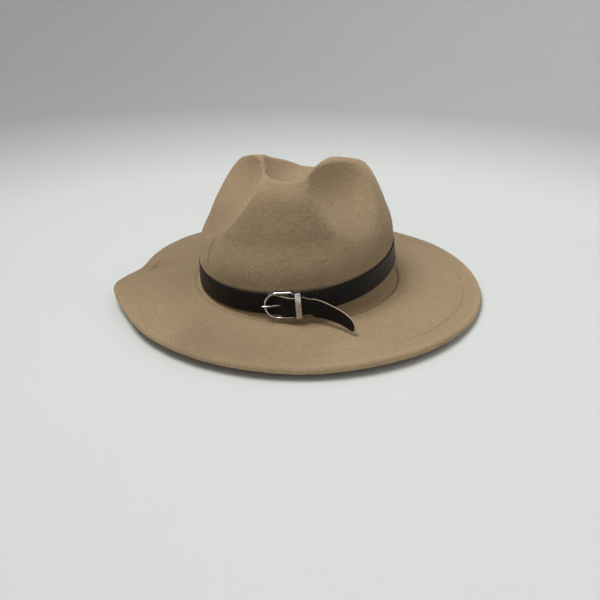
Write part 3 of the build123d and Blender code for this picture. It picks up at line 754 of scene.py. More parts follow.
def build_band():
    """Cloth band: flange under the brim, turn, outer wall, inner wall, and back."""
    def oval(half_x, z):
        return half_x, half_x + BAND_OVAL, z

    def wall(ratio, inset):
        z = BAND_FOOT_Z + BAND_HEIGHT * ratio
        return *band_ellipse(z, inset), z

    rows = [oval(a, under_z(a) - 0.14) for a in np.linspace(92.1, 86.2, 8)]
    rows += [oval(85.4, under_z(85.4) - 0.05), oval(84.7, 6.75), oval(84.35, 7.6)]
    rows += [wall(ratio, 0.0) for ratio in np.linspace(0.06, 0.985, 22)]
    rows += [wall(ratio, BAND_THICK) for ratio in np.linspace(0.985, 0.02, 24)]
    rows += [oval(83.75, 5.95), oval(84.3, 5.5), oval(85.2, 5.28)]
    rows += [oval(a, under_z(a) - 0.98) for a in np.linspace(86.4, 92.1, 8)]
    columns = 720
    faces = grid_faces(len(rows), columns, wrap_rows=True).tolist()
    band = make_solid("sweatband_cloth", shell(rows, columns).reshape(-1, 3), faces)
    # slow ripple of a sewn cloth band, inwards only, and a fine weave
    points = get_points(band)
    ripple = noise3(points * (1, 1, 0.3), 17.0, 12) * 0.5 + 0.5
    ripple = ripple * smooth(points[:, 2], 8, 16)
    shift = noise3(points, 0.9, 13) * 0.03 - ripple * 0.55
    set_points(band, points + shift[:, None] * outward(points))
    return band


def build_sleeve():
    """Puckered sleeve along the band's top, open at the back."""
    path = ellipse(SLEEVE_X, SLEEVE_Y, SLEEVE_Z, count=760, start=94.3, arc=351.4)
    sleeve = tube("sweatband_sleeve", path, radius=1.72, sides=18)
    points = get_points(sleeve)
    pucker = noise3(points * (1, 1, 0.25), 3.0, 15) * 0.16 + noise3(points, 1.1, 16) * 0.05
    angle = np.arctan2(points[:, 1] / SLEEVE_Y, points[:, 0] / SLEEVE_X)
    level = np.full(len(angle), SLEEVE_Z)
    middle = np.stack([SLEEVE_X * np.cos(angle), SLEEVE_Y * np.sin(angle), level], -1)
    set_points(sleeve, middle + (points - middle) * (1 - 0.06 + pucker)[:, None])
    return sleeve


def build_sweatband():
    band = build_band()
    sleeve = build_sleeve()
    # row of stitches just under the sleeve, seen from inside
    row_z = SLEEVE_Z - 2.6
    row = ellipse(*band_ellipse(row_z, BAND_THICK + 0.45), row_z)
    threads = [stitches("sleeve_stitches", row, -outward(row), **BAND_STITCH)]
    under = ellipse(90.3, 106.4, under_z(90.3) - 0.98)
    # upright lap seam at the back
    laps = []
    for i, x in enumerate((3.6, 6.4)):
        z = np.linspace(8.5, 34.5, 90)
        path = np.stack([np.full(90, x), band_back_y(x, z, proud=0.5), z], -1)
        laps.append(stitches(f"lap_stitches_{i}", path, (0, -1.0, 0), closed=False, **BAND_STITCH))
    threads.append(stitches("base_stitches_under", under, DOWN, **FOOT_STITCH))
    for ob in (band, sleeve):
        mark(ob, "sweatband_cloth")
    for ob in threads + laps:
        mark(ob, "base_thread")
    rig.replaces(band, "sweatband")


build_sweatband()

# ------------------------------------------------------------------ sizing cord
KNOT = np.array([0, SLEEVE_Y - 3.1, SLEEVE_Z])
# offsets from the knot on the +X side, mirrored for the other
CORD_LOOP = np.array([
    (0.6, 0.2, 0.4), (3.1, -0.6, 1.2), (8, -1.6, 3.4), (12.2, -2.6, 1.6),
    (9.5, -2.8, -1.6), (3.4, -1.2, -1.2), (0.6, -0.3, -0.5),
])
CORD_END = np.array([(0.5, -0.4, -0.6), (1.6, -0.9, -3.2), (2.9, -1.5, -7), (5, -1.2, -13)])
CORD_TIP = CORD_END[-1] + np.array([(-0.35, 0, 1.2), (0.05, 0, 0.1), (0.3, 0, -0.9)])
CORD = dict(radius=0.78, sides=16, lay=3.2, depth=0.28)


def build_cord():
    """Twisted cord that runs out of the sleeve and is tied in a bow at the back."""
    run = ellipse(SLEEVE_X, SLEEVE_Y, SLEEVE_Z, count=60, start=84.0, arc=12.0)
    parts = [tube("cord_run", run, **{**CORD, "radius": 0.8})]
    for side in (1, -1):
        loop, end, tip = (KNOT + table * (side, 1, 1) for table in (CORD_LOOP, CORD_END, CORD_TIP))
        parts.append(tube(f"cord_loop_{side}", curve_through(loop, 170), **CORD))
        parts.append(tube(f"cord_end_{side}", curve_through(end, 130), **CORD))
        parts.append(tube(f"cord_tip_{side}", curve_through(tip, 12), radius=0.95, sides=12))
    angle = np.radians(np.linspace(0, 720, 120))
    across = np.linspace(-0.95, 0.95, 120)
    wrap = KNOT + np.stack([across, -0.2 + 1.35 * np.cos(angle), 1.55 * np.sin(angle)], -1)
    parts.append(tube("cord_knot", wrap, radius=0.74, sides=14, lay=3.2, depth=0.25))
    for ob in parts:
        mark(ob, "cord")
    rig.replaces(parts[-1], "sizing_cord")


build_cord()


# ------------------------------------------------------------------ size label
def build_label():
    """Satin label at the back of the band, sewn down along its four sides."""
    low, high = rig.box("size_label")
    x0, x1, z0, z1 = low.x / MM, high.x / MM, low.z / MM, high.z / MM
    cols, rows, thick = 56, 36, 0.32
    x, z = np.meshgrid(np.linspace(x0, x1, cols), np.linspace(z0, z1, rows), indexing="ij")
    uneven_z = z + 0.06 * noise3(np.stack([x, z, x * 0], -1), 2.0, 41)
    y = band_back_y(x, uneven_z, proud=0.62) - thick + 0.025 * np.sin(x * 9)
    face = np.stack([x, y, uneven_z], -1)
    verts = np.concatenate([face.reshape(-1, 3), (face + (0.0, thick, 0)).reshape(-1, 3)])
    count = cols * rows
    faces = grid_faces(cols, rows, wrap_cols=False).tolist()
    faces += (grid_faces(cols, rows, wrap_cols=False, flip=True) + count).tolist()
    index = np.arange(count).reshape(cols, rows)
    sides = [index[:, 0], index[-1, 1:], index[-2::-1, -1], index[0, -2:0:-1]]
    rim = np.concatenate(sides).tolist()
    faces += [[k, i, i + count, k + count] for i, k in zip(rim, rim[1:] + rim[:1])]
    label = make_solid("label_satin", verts, faces)

    x0, x1, z0, z1 = x0 + 1, x1 - 1, z0 + 1, z1 - 1
    corners = [(x0, z0), (x1, z0), (x1, z1), (x0, z1), (x0, z0)]
    seams = []
    for i, (start, end) in enumerate(zip(corners, corners[1:])):
        x, z = np.linspace(start, end, 60).T
        path = np.stack([x, band_back_y(x, z, proud=0.62) - 0.5, z], -1)
        seams.append(stitches(f"label_stitches_{i}", path, (0.3, -1.0, 0), length=1.3, gap=0.35,
                              radius=0.13, closed=False, dip=0.22))
    mark(label, "label_satin", "size_label")
    for ob in seams:
        mark(ob, "base_thread")


build_label()

# ------------------------------------------------------------------ belt
# Belt places are (along, out): along runs round from the front towards +X, measured on a
# circle of radius BELT_IN_X, and out is the distance outwards from the inside face.
BUCKLE = 7.0  # along at the buckle
OVERLAP = 2 * math.pi * BELT_IN_X + BUCKLE  # the same place after a full turn
LAYER_OUT = 0.65  # middle of the layer against the felt
BAR_ALONG, BAR_OUT, BAR_WRAP = 10.1, 2.55, 1.85  # centre and radius of the turn at the bar
FREE_START = 15.6  # past OVERLAP, where the free end takes over from the band

# (along from BUCKLE, out)
FOLD_BACK = [(29, 0.62), (20, 0.66), (14, 0.72)]
FOLD_FRONT = [
    (13.5, 3.5), (16.5, 2.5), (20, 2.15), (26, 2.12), (31, 1.95), (38, 0.85), (44, 0.65),
]
# (along from OVERLAP, out): the layer that climbs over the buckle
OVER_LAYER = [
    (-25.4, 0.65), (-17, 0.65), (-11, 0.65), (-6.5, 0.70), (-3, 1.2), (0, 2.2), (3, 3.65),
    (6, 5.05), (8.5, 5.75), (10, 5.85), (12.5, 5.55), (16, 4.5), (19.5, 4.0), (22.8, 3.95),
]


def belt_plan(along, out, rise):
    """Belt-plane x, y; rise is 0 at the lower edge and 1 at the upper."""
    values = (np.asarray(value, float) for value in (along, out, rise))
    along, out, rise = np.broadcast_arrays(*values)
    angle = along / BELT_IN_X
    draw = belt_draw(angle)

    def on_ellipse(half_x, half_y):
        normal_x, normal_y = half_y * np.sin(angle), -half_x * np.cos(angle)
        length = np.hypot(normal_x, normal_y)
        return (
            half_x * np.sin(angle) + out * normal_x / length,
            -half_y * np.cos(angle) + out * normal_y / length,
        )

    x0, y0 = on_ellipse(BELT_IN_X - draw, BELT_IN_Y - draw)
    top_x, top_y = BELT_IN_X * (1 - BELT_TAPER_X), BELT_IN_Y * (1 - BELT_TAPER_Y)
    x1, y1 = on_ellipse(top_x - draw, top_y - draw)
    return x0 + (x1 - x0) * rise, y0 + (y1 - y0) * rise


def belt_world(x, y, height):
    x, y, height = (np.asarray(value)[..., None] for value in (x, y, height))
    return BELT_ORIGIN + x * BELT_X + y * BELT_Y + height * BELT_Z


def belt_frame(along):
    """Centre of the inside face, and the along, up and out directions there."""
    low = belt_world(*belt_plan(along, 0.0, 0.0), 0.0)
    high = belt_world(*belt_plan(along, 0.0, 1.0), BELT_WIDTH)
    ahead = belt_world(*belt_plan(along + 0.5, 0.0, 0.0), 0.0)
    behind = belt_world(*belt_plan(along - 0.5, 0.0, 0.0), 0.0)
    forward, up = unit(ahead - behind), unit(high - low)
    return (low + high) / 2, forward, up, np.cross(forward, up)


def droop_at(along):
    """How far the upper edge of the overlapping layer sags."""
    past = along - OVERLAP
    return 0.9 * smooth(past, -14, 2) + 1.25 * smooth(past, 2, 18) + 0.55 * smooth(past, 17, 26)


def strap_section(flat_count):
    """Cross-section rows: across the thickness -0.5..0.5, up the width 0..1, cut edge 0..1."""
    corner = 0.42 / BELT_WIDTH
    points = []
    # outer face and upper edge, then inner face and lower edge
    for face, base, ratios in ((0.5, 1 - corner, (0, 1)), (-0.5, corner, (1, 0))):
        for ratio in np.linspace(*ratios, flat_count):
            points.append((face, corner + (1 - 2 * corner) * ratio, 0))
        for degrees in (25, 50, 75, 105, 130, 155):
            cut = 1 if 40 < degrees < 140 else 0.35
            angle = math.radians(degrees + (0 if face > 0 else 180))
            points.append((0.5 * math.cos(angle), base + corner * math.sin(angle), cut))
    return np.array(points)


def set_cut_edge(ob, values):
    attribute = ob.data.attributes.new("cut_edge", "FLOAT", "POINT")
    attribute.data.foreach_set("value", values.reshape(-1).astype(np.float32))


over_layer = curve_through(np.array(OVER_LAYER) + (OVERLAP, 0), 110)


def band_path():
    """Middle of the strap: the tucked end, turn at the bar, once round, and over the buckle."""
    turn = []
    for degrees in range(0, 181, 12):
        angle = math.radians(degrees)
        turn.append((BAR_ALONG - BAR_WRAP * math.sin(angle), BAR_OUT - BAR_WRAP * math.cos(angle)))
    tucked = curve_through(FOLD_BACK + turn[:1], 26)[:-1]
    outer = curve_through(turn[-1:] + FOLD_FRONT, 60)[1:]
    folded = np.concatenate([tucked, np.array(turn), outer]) + (BUCKLE, 0)
    places = np.linspace(BUCKLE + 44.6, OVERLAP - 26, 620)
    around = np.stack([places, LAYER_OUT + 0 * places], 1)
    return np.concatenate([folded, around, over_layer[over_layer[:, 0] <= OVERLAP + FREE_START]])


def build_strap():
    path = band_path()
    direction = unit(np.gradient(path, axis=0))
    section = strap_section(9)
    across = section[:, 0] * BELT_THICK
    along = path[:, :1] - direction[:, 1:] * across
    out = path[:, 1:] + direction[:, :1] * across
    rise = np.broadcast_to(section[:, 1], along.shape)
    verts = belt_world(*belt_plan(along, out, rise), rise * BELT_WIDTH)
    verts[..., 2] -= droop_at(path[:, 0])[:, None] * rise
    strap = make_mesh("belt_band", verts.reshape(-1, 3), capped_faces(len(path), len(section)))
    # leather isn't dead flat
    points = get_points(strap)
    points[:, 2] += 0.25 * noise3(points, 60.0, 51)
    set_points(strap, points)
    # only the overlapping layer shows its pale cut edge
    set_cut_edge(strap, section[:, 2] * smooth(path[:, :1] - OVERLAP, -12, -4))
    turn_faces_out(strap)
    return strap


def slot_cutter(along, up, length, width, near, far):
    """Round-ended bar pointing outwards from near to far, centred near the buckle."""
    origin, forward, upward, outwards = belt_frame(BUCKLE)
    half = (length - width) / 2
    outline = []
    for centre, start in ((along + half, -math.pi / 2), (along - half, math.pi / 2)):
        for k in range(17):
            angle = math.pi * k / 16 + start
            x = centre + width / 2 * math.cos(angle)
            outline.append((x, up + width / 2 * math.sin(angle)))
    verts = []
    for depth in (near, far):
        verts += [origin + forward * x + upward * y + outwards * depth for x, y in outline]
    return make_solid("cutter", verts, capped_faces(2, len(outline)), smooth_shade=False)


def cut_slots(strap):
    """Cuts a slot at the fold and another in the layer that lies over it."""
    bar_depth = BAR_OUT - BAR_ALONG**2 / 2 / 74  # less the belt's curve away from its tangent
    slots = (
        dict(along=BAR_ALONG, up=-0.7, length=12, width=4.2, near=-6.0, far=bar_depth + 2.0),
        dict(along=-1.6, up=-1.25, length=9.0, width=2.2, near=-0.15, far=7.0),
    )
    for slot in slots:
        cutter = slot_cutter(**slot)
        modifier = strap.modifiers.new("hole", "BOOLEAN")
        modifier.object = cutter
        modifier.operation = "DIFFERENCE"
        modifier.solver = "EXACT"
        graph = bpy.context.evaluated_depsgraph_get()
        mesh = bpy.data.meshes.new_from_object(strap.evaluated_get(graph))
        strap.modifiers.clear()
        # a failed cut leaves next to nothing, so the strap is then kept whole
        if len(mesh.vertices) > 1000:
            strap.data = mesh
        bpy.data.objects.remove(cutter, do_unlink=True)
    shade_smooth(strap.data)


def build_fold_stitches():
    """Six rounded loops of thread through the folded layers."""
    angle = np.radians(np.arange(48) * 7.5)
    # squared-off ring
    ring_up = np.sign(np.cos(angle)) * np.abs(np.cos(angle)) ** 0.45 * 1.9
    ring_out = np.sign(np.sin(angle)) * np.abs(np.sin(angle)) ** 0.45 * 1.62
    for i, along in enumerate((24.6, 27.4)):
        origin, _, up, out = belt_frame(BUCKLE + along)
        for j, height in enumerate((-5.2, 0.0, 5.2)):
            loop = origin + up * (height + ring_up)[:, None] + out * (1.38 + ring_out)[:, None]
            stitch = tube(f"fold_stitch_{i}{j}", loop, radius=0.26, sides=8, closed=True)
            mark(stitch, "strap_thread", body="belt")
    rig.replaces(stitch, "fold_stitching")


strap = build_strap()
cut_slots(strap)
mark(strap, "strap_leather", "belt_strap", body="belt")
build_fold_stitches()

# ------------------------------------------------------------------ belt's free end
TAIL_PLAN = [(38.0, -100.3), (45.0, -102.7), (52.0, -106.7), (58, -110.9), (66.2, -117.2)]  # x, y
# lower and upper edges: x, z
TAIL_LOW = np.array([
    (20, 13.85), (24, 13.6), (31.2, 13.8), (36, 13.9), (41.3, 14.2),
    (47.0, 14.2), (52.8, 14.3), (58.6, 14.1), (62.0, 13.7), (67, 13.4),
])
TAIL_HIGH = np.array([
    (20, 29.75), (24, 29.2), (31.2, 28.5), (36, 27.9), (40.9, 27.0),
    (47.6, 26.0), (54.5, 25.1), (60.4, 23.5), (63.5, 21.9), (67, 19.4),
])


def build_free_end():
    start = over_layer[over_layer[:, 0] >= OVERLAP + FREE_START + 0.02]
    joined = np.stack(belt_plan(start[:, 0], start[:, 1], 0.0), 1)[::3]
    plan = curve_through(np.concatenate([joined, TAIL_PLAN]), 170)
    plan_x = plan[:, 0]
    past_start = plan_x - plan_x[0]
    # heights match the band where the two meet under the keeper
    along, out = start[0]
    band_low = belt_world(*belt_plan(along, out, 0.0), 0.0)[2]
    band_high_z = belt_world(*belt_plan(along, out, 1.0), BELT_WIDTH)[2] - droop_at(along)
    own = smooth(past_start, 0, 5)
    low = band_low * (1 - own) + spline(*TAIL_LOW.T, plan_x) * own
    high = band_high_z * (1 - own) + spline(*TAIL_HIGH.T, plan_x) * own
    # the lower edge stays inside the keeper as far as the keeper slides
    bed = band_low + 0.09 * past_start
    low = low + np.maximum(bed - low, 0) * (1 - smooth(past_start, 4.6, 11.5))
    # rounded end
    to_end = np.clip((plan_x[-1] - plan_x) / 3.0, 0, 1)
    close = np.sqrt(np.clip(1 - (1 - to_end) ** 2, 0, 1))
    middle = low * 0.55 + high * 0.45
    low, high = middle + (low - middle) * close, middle + (high - middle) * close

    direction = unit(np.gradient(plan, axis=0))
    lean_x, lean_y = (
        np.array(belt_plan(BUCKLE + 23, 3.95, 1.0)) - np.array(belt_plan(BUCKLE + 23, 3.95, 0.0))
    )
    section = strap_section(13)
    rise = section[:, 1]
    across = section[:, 0] * BELT_THICK
    z = low[:, None] + rise * np.maximum(high - low, 0.02)[:, None]
    lean = (z - 15.5) / BELT_WIDTH
    x = plan_x[:, None] + direction[:, 1:] * across + lean_x * lean
    y = plan[:, 1:] + BELT_ORIGIN[1] - direction[:, :1] * across + lean_y * lean
    # cupped a little across its width
    y = y - 0.35 * (1 - (2 * rise - 1) ** 2) * smooth(plan_x, 30, 45)[:, None]
    verts = np.stack([x, y, z], -1)
    tail = make_mesh("belt_free_end", verts.reshape(-1, 3), capped_faces(len(plan), len(section)))
    cut = np.broadcast_to(section[:, 2], x.shape).copy()
    cut[-2:] = 1
    set_cut_edge(tail, cut)
    turn_faces_out(tail)
    return tail


tail = build_free_end()
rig.blend(tail, "belt", "tail", start=(0.0268, -0.1024, 0.025), end=(0.0352, -0.1024, 0.025))
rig.replaces(tail, "belt_tail")
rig.slot(tail, "strap_leather")


# ------------------------------------------------------------------ material helpers
def srgb(*levels):
    """Linear colour from 0..255 levels."""
    def linear(level):
        level /= 255
        return level / 12.92 if level <= 0.04045 else ((level + 0.055) / 1.055) ** 2.4

    return (*map(linear, levels), 1)


class Shader:
    """A Principled material; keyword settings are its inputs, with _ for spaces."""

    def __init__(self, name, **settings):
        self.material = bpy.data.materials.new(name)
        self.material.use_nodes = True
        self.tree = self.material.node_tree
        self.tree.nodes.clear()
        self.output = self.node("OutputMaterial")
        self.surface = self.node("BsdfPrincipled")
        self.feed(self.output.inputs[0], self.surface.outputs[0])
        self.place = self.node("TexCoord").outputs["Object"]
        for key, value in settings.items():
            self.set(key.replace("_", " "), value)

    def node(self, kind):
        return self.tree.nodes.new("ShaderNode" + kind)

    def feed(self, socket, value):
        """Links a socket to another, or gives it a plain value."""
        if isinstance(value, bpy.types.NodeSocket):
            self.tree.links.new(value, socket)
        else:
            socket.default_value = value

    def set(self, name, value):
        self.feed(self.surface.inputs[name], value)

    def axes(self):
        split = self.node("SeparateXYZ")
        self.feed(split.inputs[0], self.place)
        return split.outputs

    def noise(self, size, detail=3.0, rough=0.55, stretch=(1, 1, 1), distortion=0.0):
        """Noise with features of the given size in mm."""
        texture = self.node("TexNoise")
        mapping = self.node("Mapping")
        self.feed(mapping.inputs[0], self.place)
        mapping.inputs["Scale"].default_value = stretch
        self.feed(texture.inputs["Vector"], mapping.outputs[0])
        texture.inputs["Scale"].default_value = 1000 / size
        texture.inputs["Detail"].default_value = detail
        texture.inputs["Roughness"].default_value = rough
        texture.inputs["Distortion"].default_value = distortion
        return texture.outputs["Fac"]

    def voronoi(self, size, feature="F1"):
        texture = self.node("TexVoronoi")
        texture.feature = feature
        self.feed(texture.inputs["Vector"], self.place)
        texture.inputs["Scale"].default_value = 1000 / size
        return texture.outputs["Distance"]

    def ramp(self, factor, start, end, first=(0, 0, 0), last=(1, 1, 1)):
        ramp = self.node("ValToRGB")
        self.feed(ramp.inputs[0], factor)
        stops = ((start, first), (end, last))
        for element, (position, colour) in zip(ramp.color_ramp.elements, stops):
            element.position = position
            element.color = (*colour, 1)
        return ramp.outputs[0]

    def mix(self, factor, first, second, mode="MIX"):
        mixer = self.node("Mix")
        mixer.data_type = "RGBA"
        mixer.blend_type = mode
        # 0, 6 and 7 are the sockets of a colour mix
        for index, value in ((0, factor), (6, first), (7, second)):
            self.feed(mixer.inputs[index], value)
        return mixer.outputs[2]

    def two_tone(self, factor, start, end, dark, light):
        """Blend of two sRGB colours as factor goes from start to end."""
        return self.mix(self.ramp(factor, start, end), srgb(*dark), srgb(*light))

    def math(self, operation, first, second=0.0):
        maths = self.node("Math")
        maths.operation = operation
        self.feed(maths.inputs[0], first)
        self.feed(maths.inputs[1], second)
        return maths.outputs[0]

    def attribute(self, name, output):
        reader = self.node("Attribute")
        reader.attribute_name = name
        return reader.outputs[output]

    def bump(self, *layers):
        """Stacks bumps; each layer is (height socket, strength, depth in mm)."""
        previous = None
        for height, strength, depth in layers:
            bump = self.node("Bump")
            bump.inputs["Strength"].default_value = strength
            bump.inputs["Distance"].default_value = depth * MM
            self.feed(bump.inputs["Height"], height)
            if previous is not None:
                self.feed(bump.inputs["Normal"], previous)
            previous = bump.outputs[0]
        self.set("Normal", previous)


# ------------------------------------------------------------------ materials
def felt_material():
    m = Shader("wool_felt", Roughness=0.92, Specular_IOR_Level=0.18, Sheen_Weight=0.32,
               Sheen_Roughness=0.45, Sheen_Tint=srgb(232, 214, 182))
    fine = m.noise(1.25, rough=0.65)
    medium = m.noise(9.0)
    broad = m.noise(55.0, detail=2.0, rough=0.5)
    fibre = m.noise(2.6, detail=4.0, rough=0.65, distortion=1.4)
    base = m.two_tone(fine, 0.33, 0.67, dark=(156, 132, 102), light=(186, 162, 130))
    warm = m.mix(m.ramp(broad, 0.35, 0.65), base, srgb(178, 153, 118))
    colour = m.mix(0.35, base, warm)
    mottle = m.ramp(medium, 0.3, 0.7, (0.95, 0.945, 0.94), (1.04, 1.035, 1.03))
    colour = m.mix(1.0, colour, mottle, "MULTIPLY")
    # pale fibres lying on the surface, and dark specks
    hair = m.math("MULTIPLY", m.ramp(fibre, 0.60, 0.70), 0.22)
    colour = m.mix(hair, colour, srgb(214, 194, 160))
    speck = m.ramp(m.noise(0.9, detail=1.0), 0.24, 0.30, first=(1, 1, 1), last=(0, 0, 0))
    colour = m.mix(m.math("MULTIPLY", speck, 0.35), colour, srgb(110, 86, 60))
    # the vertex colour tone brings in wear and painted shade
    colour = m.mix(1.0, colour, m.attribute("tone", "Color"), "MULTIPLY")
    m.set("Base Color", colour)
    m.bump((m.voronoi(1.2), 0.65, 0.38), (fine, 0.8, 0.40), (fibre, 0.5, 0.25))
    return m.material


def thread_material(name, light, dark):
    m = Shader(name, Roughness=0.7, Specular_IOR_Level=0.3, Sheen_Weight=0.2)
    m.set("Base Color", m.two_tone(m.noise(0.5, detail=2.0), 0.35, 0.65, dark, light))
    m.bump((m.noise(0.25, detail=1.0), 0.5, 0.08))
    return m.material


def leather_material():
    """Black grained leather, pale where the cut_edge attribute is high."""
    m = Shader("strap_leather", Specular_IOR_Level=0.20, Coat_Weight=0.0, Coat_Roughness=0.35)
    grain = m.voronoi(0.75, "DISTANCE_TO_EDGE")
    fine = m.noise(0.5)
    wear = m.ramp(m.noise(14.0, detail=4.0, rough=0.65), 0.45, 0.75)
    black = m.two_tone(fine, 0.3, 0.7, dark=(3, 3, 3), light=(9, 8, 8))
    black = m.mix(m.math("MULTIPLY", wear, 0.16), black, srgb(34, 27, 24))
    pale = m.two_tone(m.noise(0.8, rough=0.7), 0.35, 0.65, dark=(150, 124, 92), light=(206, 184, 150))
    patchy = m.ramp(m.noise(3.0), 0.30, 0.55, first=(0.55, 0.55, 0.55))
    edge = m.ramp(m.math("MULTIPLY", m.attribute("cut_edge", "Fac"), patchy), 0.30, 0.62)
    m.set("Base Color", m.mix(edge, black, pale))
    edge_rough = m.math("ADD", m.math("MULTIPLY", edge, 0.35), 0.36)
    m.set("Roughness", m.math("ADD", m.math("MULTIPLY", fine, 0.16), edge_rough))
    cells = m.ramp(grain, 0.0, 0.22)
    m.bump((cells, 0.35, 0.10), (fine, 0.3, 0.08), (m.noise(6.0, detail=2.0), 0.4, 0.5))
    return m.material


def chrome_material():
    m = Shader("buckle_chrome", Metallic=1.0)
    cloud = m.noise(3.0, detail=4.0)
    m.set("Base Color", m.two_tone(cloud, 0.40, 0.72, (214, 215, 218), (178, 176, 172)))
    scratches = m.noise(0.6, detail=2.0, stretch=(1, 0.12, 1))
    m.set("Roughness", m.math("ADD", m.math("MULTIPLY", m.noise(2.2), 0.16), 0.07))
    m.bump((scratches, 0.15, 0.03), (m.noise(4.0, detail=2.0), 0.2, 0.06))
    return m.material


def metal_material(name, light, roughness):
    m = Shader(name, Metallic=1.0, Roughness=roughness)
    dark = [int(level * 0.75) for level in light]
    m.set("Base Color", m.mix(m.noise(1.5), srgb(*light), srgb(*dark)))
    m.bump((m.noise(0.5, detail=2.0), 0.2, 0.05))
    return m.material


def cloth_material():
    """Ribbed weave: fine upright ribs crossed by picks 0.8 mm apart."""
    m = Shader("sweatband_cloth", Roughness=0.85, Specular_IOR_Level=0.2, Sheen_Weight=0.25)
    x, y, z = m.axes()
    ribs = m.math("SINE", m.math("MULTIPLY", m.math("ARCTAN2", y, x), 620.0))
    picks = m.math("SINE", m.math("MULTIPLY", z, 2 * math.pi / (0.8 * MM)))
    weave = m.math("MULTIPLY", m.math("ADD", ribs, m.math("MULTIPLY", picks, 0.7)), 0.25)
    weave = m.math("ADD", weave, 0.5)
    woven = m.mix(weave, srgb(62, 50, 40), srgb(98, 82, 66))
    faded = m.math("MULTIPLY", m.ramp(m.noise(18.0, detail=4.0), 0.4, 0.75), 0.45)
    m.set("Base Color", m.mix(faded, woven, srgb(120, 100, 78)))
    m.bump((weave, 0.6, 0.18), (m.noise(0.4, detail=2.0), 0.4, 0.08))
    return m.material


def cord_material():
    m = Shader("cord", Roughness=0.75, Sheen_Weight=0.35)
    m.set("Base Color", m.two_tone(m.noise(0.6), 0.3, 0.7, dark=(96, 78, 58), light=(140, 118, 92)))
    m.bump((m.noise(0.3, detail=2.0), 0.5, 0.1))
    return m.material


def satin_material():
    """Off-white satin with upright threads 0.35 mm apart."""
    m = Shader("label_satin", Roughness=0.38, Specular_IOR_Level=0.5, Sheen_Weight=0.3,
               Anisotropic=0.5)
    wave = m.math("SINE", m.math("MULTIPLY", m.axes()[0], 2 * math.pi / (0.35 * MM)))
    threads = m.math("ADD", m.math("MULTIPLY", wave, 0.5), 0.5)
    cloud = m.math("MULTIPLY", m.noise(5.0), 0.6)
    factor = m.math("ADD", m.math("MULTIPLY", threads, 0.4), cloud)
    m.set("Base Color", m.mix(factor, srgb(214, 206, 190), srgb(236, 230, 218)))
    m.bump((threads, 0.35, 0.05), (m.noise(0.7, detail=2.0), 0.3, 0.05))
    return m.material


MATERIALS = {
    "wool_felt": felt_material(),
    "hem_thread": thread_material("hem_thread", light=(166, 140, 106), dark=(120, 96, 68)),
    "base_thread": thread_material("base_thread", light=(112, 90, 66), dark=(74, 57, 40)),
    "strap_thread": thread_material("strap_thread", light=(34, 31, 30), dark=(18, 16, 16)),
    "strap_leather": leather_material(),
    "buckle_chrome": chrome_material(),
    "spring_wire": metal_material("spring_wire", light=(150, 152, 156), roughness=0.35),
    "ferrule_metal": metal_material("ferrule_metal", light=(196, 160, 96), roughness=0.3),
    "sweatband_cloth": cloth_material(),
    "cord": cord_material(),
    "label_satin": satin_material(),
}


def dress(ob, material):
    ob.data.materials.clear()
    ob.data.materials.append(material)
    ob.data.polygons.foreach_set("material_index", [0] * len(ob.data.polygons))


for ob in list(bpy.context.scene.objects):
    if ob.type == "MESH" and "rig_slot" in ob:
        dress(ob, MATERIALS[ob["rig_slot"]])
for node_name in ("buckle_frame", "buckle_prong", "keeper_loop"):
    shade_smooth(NODES[node_name].data)
    dress(NODES[node_name], MATERIALS["buckle_chrome"])

# ------------------------------------------------------------------ felt tone
# dark scuffs on the brim at the wearer's right: x, y, radius, strength
SCUFFS = ((-135.8, -12.5, 2.3, 0.55), (-135.2, -21.0, 1.8, 0.55), (-133.0, -2.0, 6.0, 0.12))


def paint_felt_tone():
    """Wear, and painted shade, as a colour on each vertex, multiplied into the felt's colour."""
    points = get_points(felt)
    x, y, z = points.T
    tone = np.ones((len(points), 3))
    blotches = noise3(points, 60.0, 61) * 0.5 + noise3(points, 24.0, 62) * 0.35
    tone *= (1 + 0.055 * blotches)[:, None]
    for centre_x, centre_y, radius, strength in SCUFFS:
        spot = bell(np.hypot(x - centre_x, y - centre_y), radius) * (z > 2)
        tone *= 1 - spot[:, None] * strength * np.array([0.75, 1.0, 1.25])
    # rim a little paler, the seam at the crown's foot a little darker
    rim = bell((reach(x, y, EDGE_X, EDGE_Y) - 1) * EDGE_X, 3.0)
    tone *= 1 + 0.10 * rim[:, None]
    seam = (reach(x, y, FOOT_X + FOOT_SEAM, FOOT_Y + FOOT_SEAM) - 1) * 97
    tone *= 1 - 0.20 * (bell(seam, 1.2) * (z > 4) * (z < 14))[:, None]
    # painted shade: darker on the crown's upright front and lower wall, and on the brim at the
    # wearer's right and the back, standing in for the shade the crown and the light leave there
    face = smooth(-y, 52, 80) * smooth(z, 8, 14) * (1 - smooth(z, 88, 108))
    face = face * (1 - smooth(np.abs(x + 4), 42, 62))
    lower = smooth(z, 8, 14) * (1 - smooth(z, 60, 84)) * (np.hypot(x / 92, y / 108) < 1)
    turn = np.degrees(np.arctan2(y, -x))  # 0 at -X, rising towards the back
    back = smooth(brim_ratio(x, y), 0.02, 0.12) * (z < 30)
    back = back * smooth(turn, -62, -8) * (1 - smooth(turn, 120, 175))
    tone *= 0.87 * (1 - 0.26 * np.maximum(face, 0.85 * lower) - 0.22 * back)[:, None]
    rgba = np.concatenate([np.clip(tone, 0, 2), np.ones((len(points), 1))], 1)
    attribute = felt.data.attributes.new("tone", "FLOAT_COLOR", "POINT")
    attribute.data.foreach_set("color", rgba.astype(np.float32).ravel())


paint_felt_tone()

# ------------------------------------------------------------------ floor
# radius, height: a flat disc that curves up into a wall
FLOOR_PROFILE = [
    (200, 0), (370, 0), (420, 8), (470, 32), (520, 80), (560, 150), (590, 250),
    (607, 400), (615, 700), (620, 1000),
]


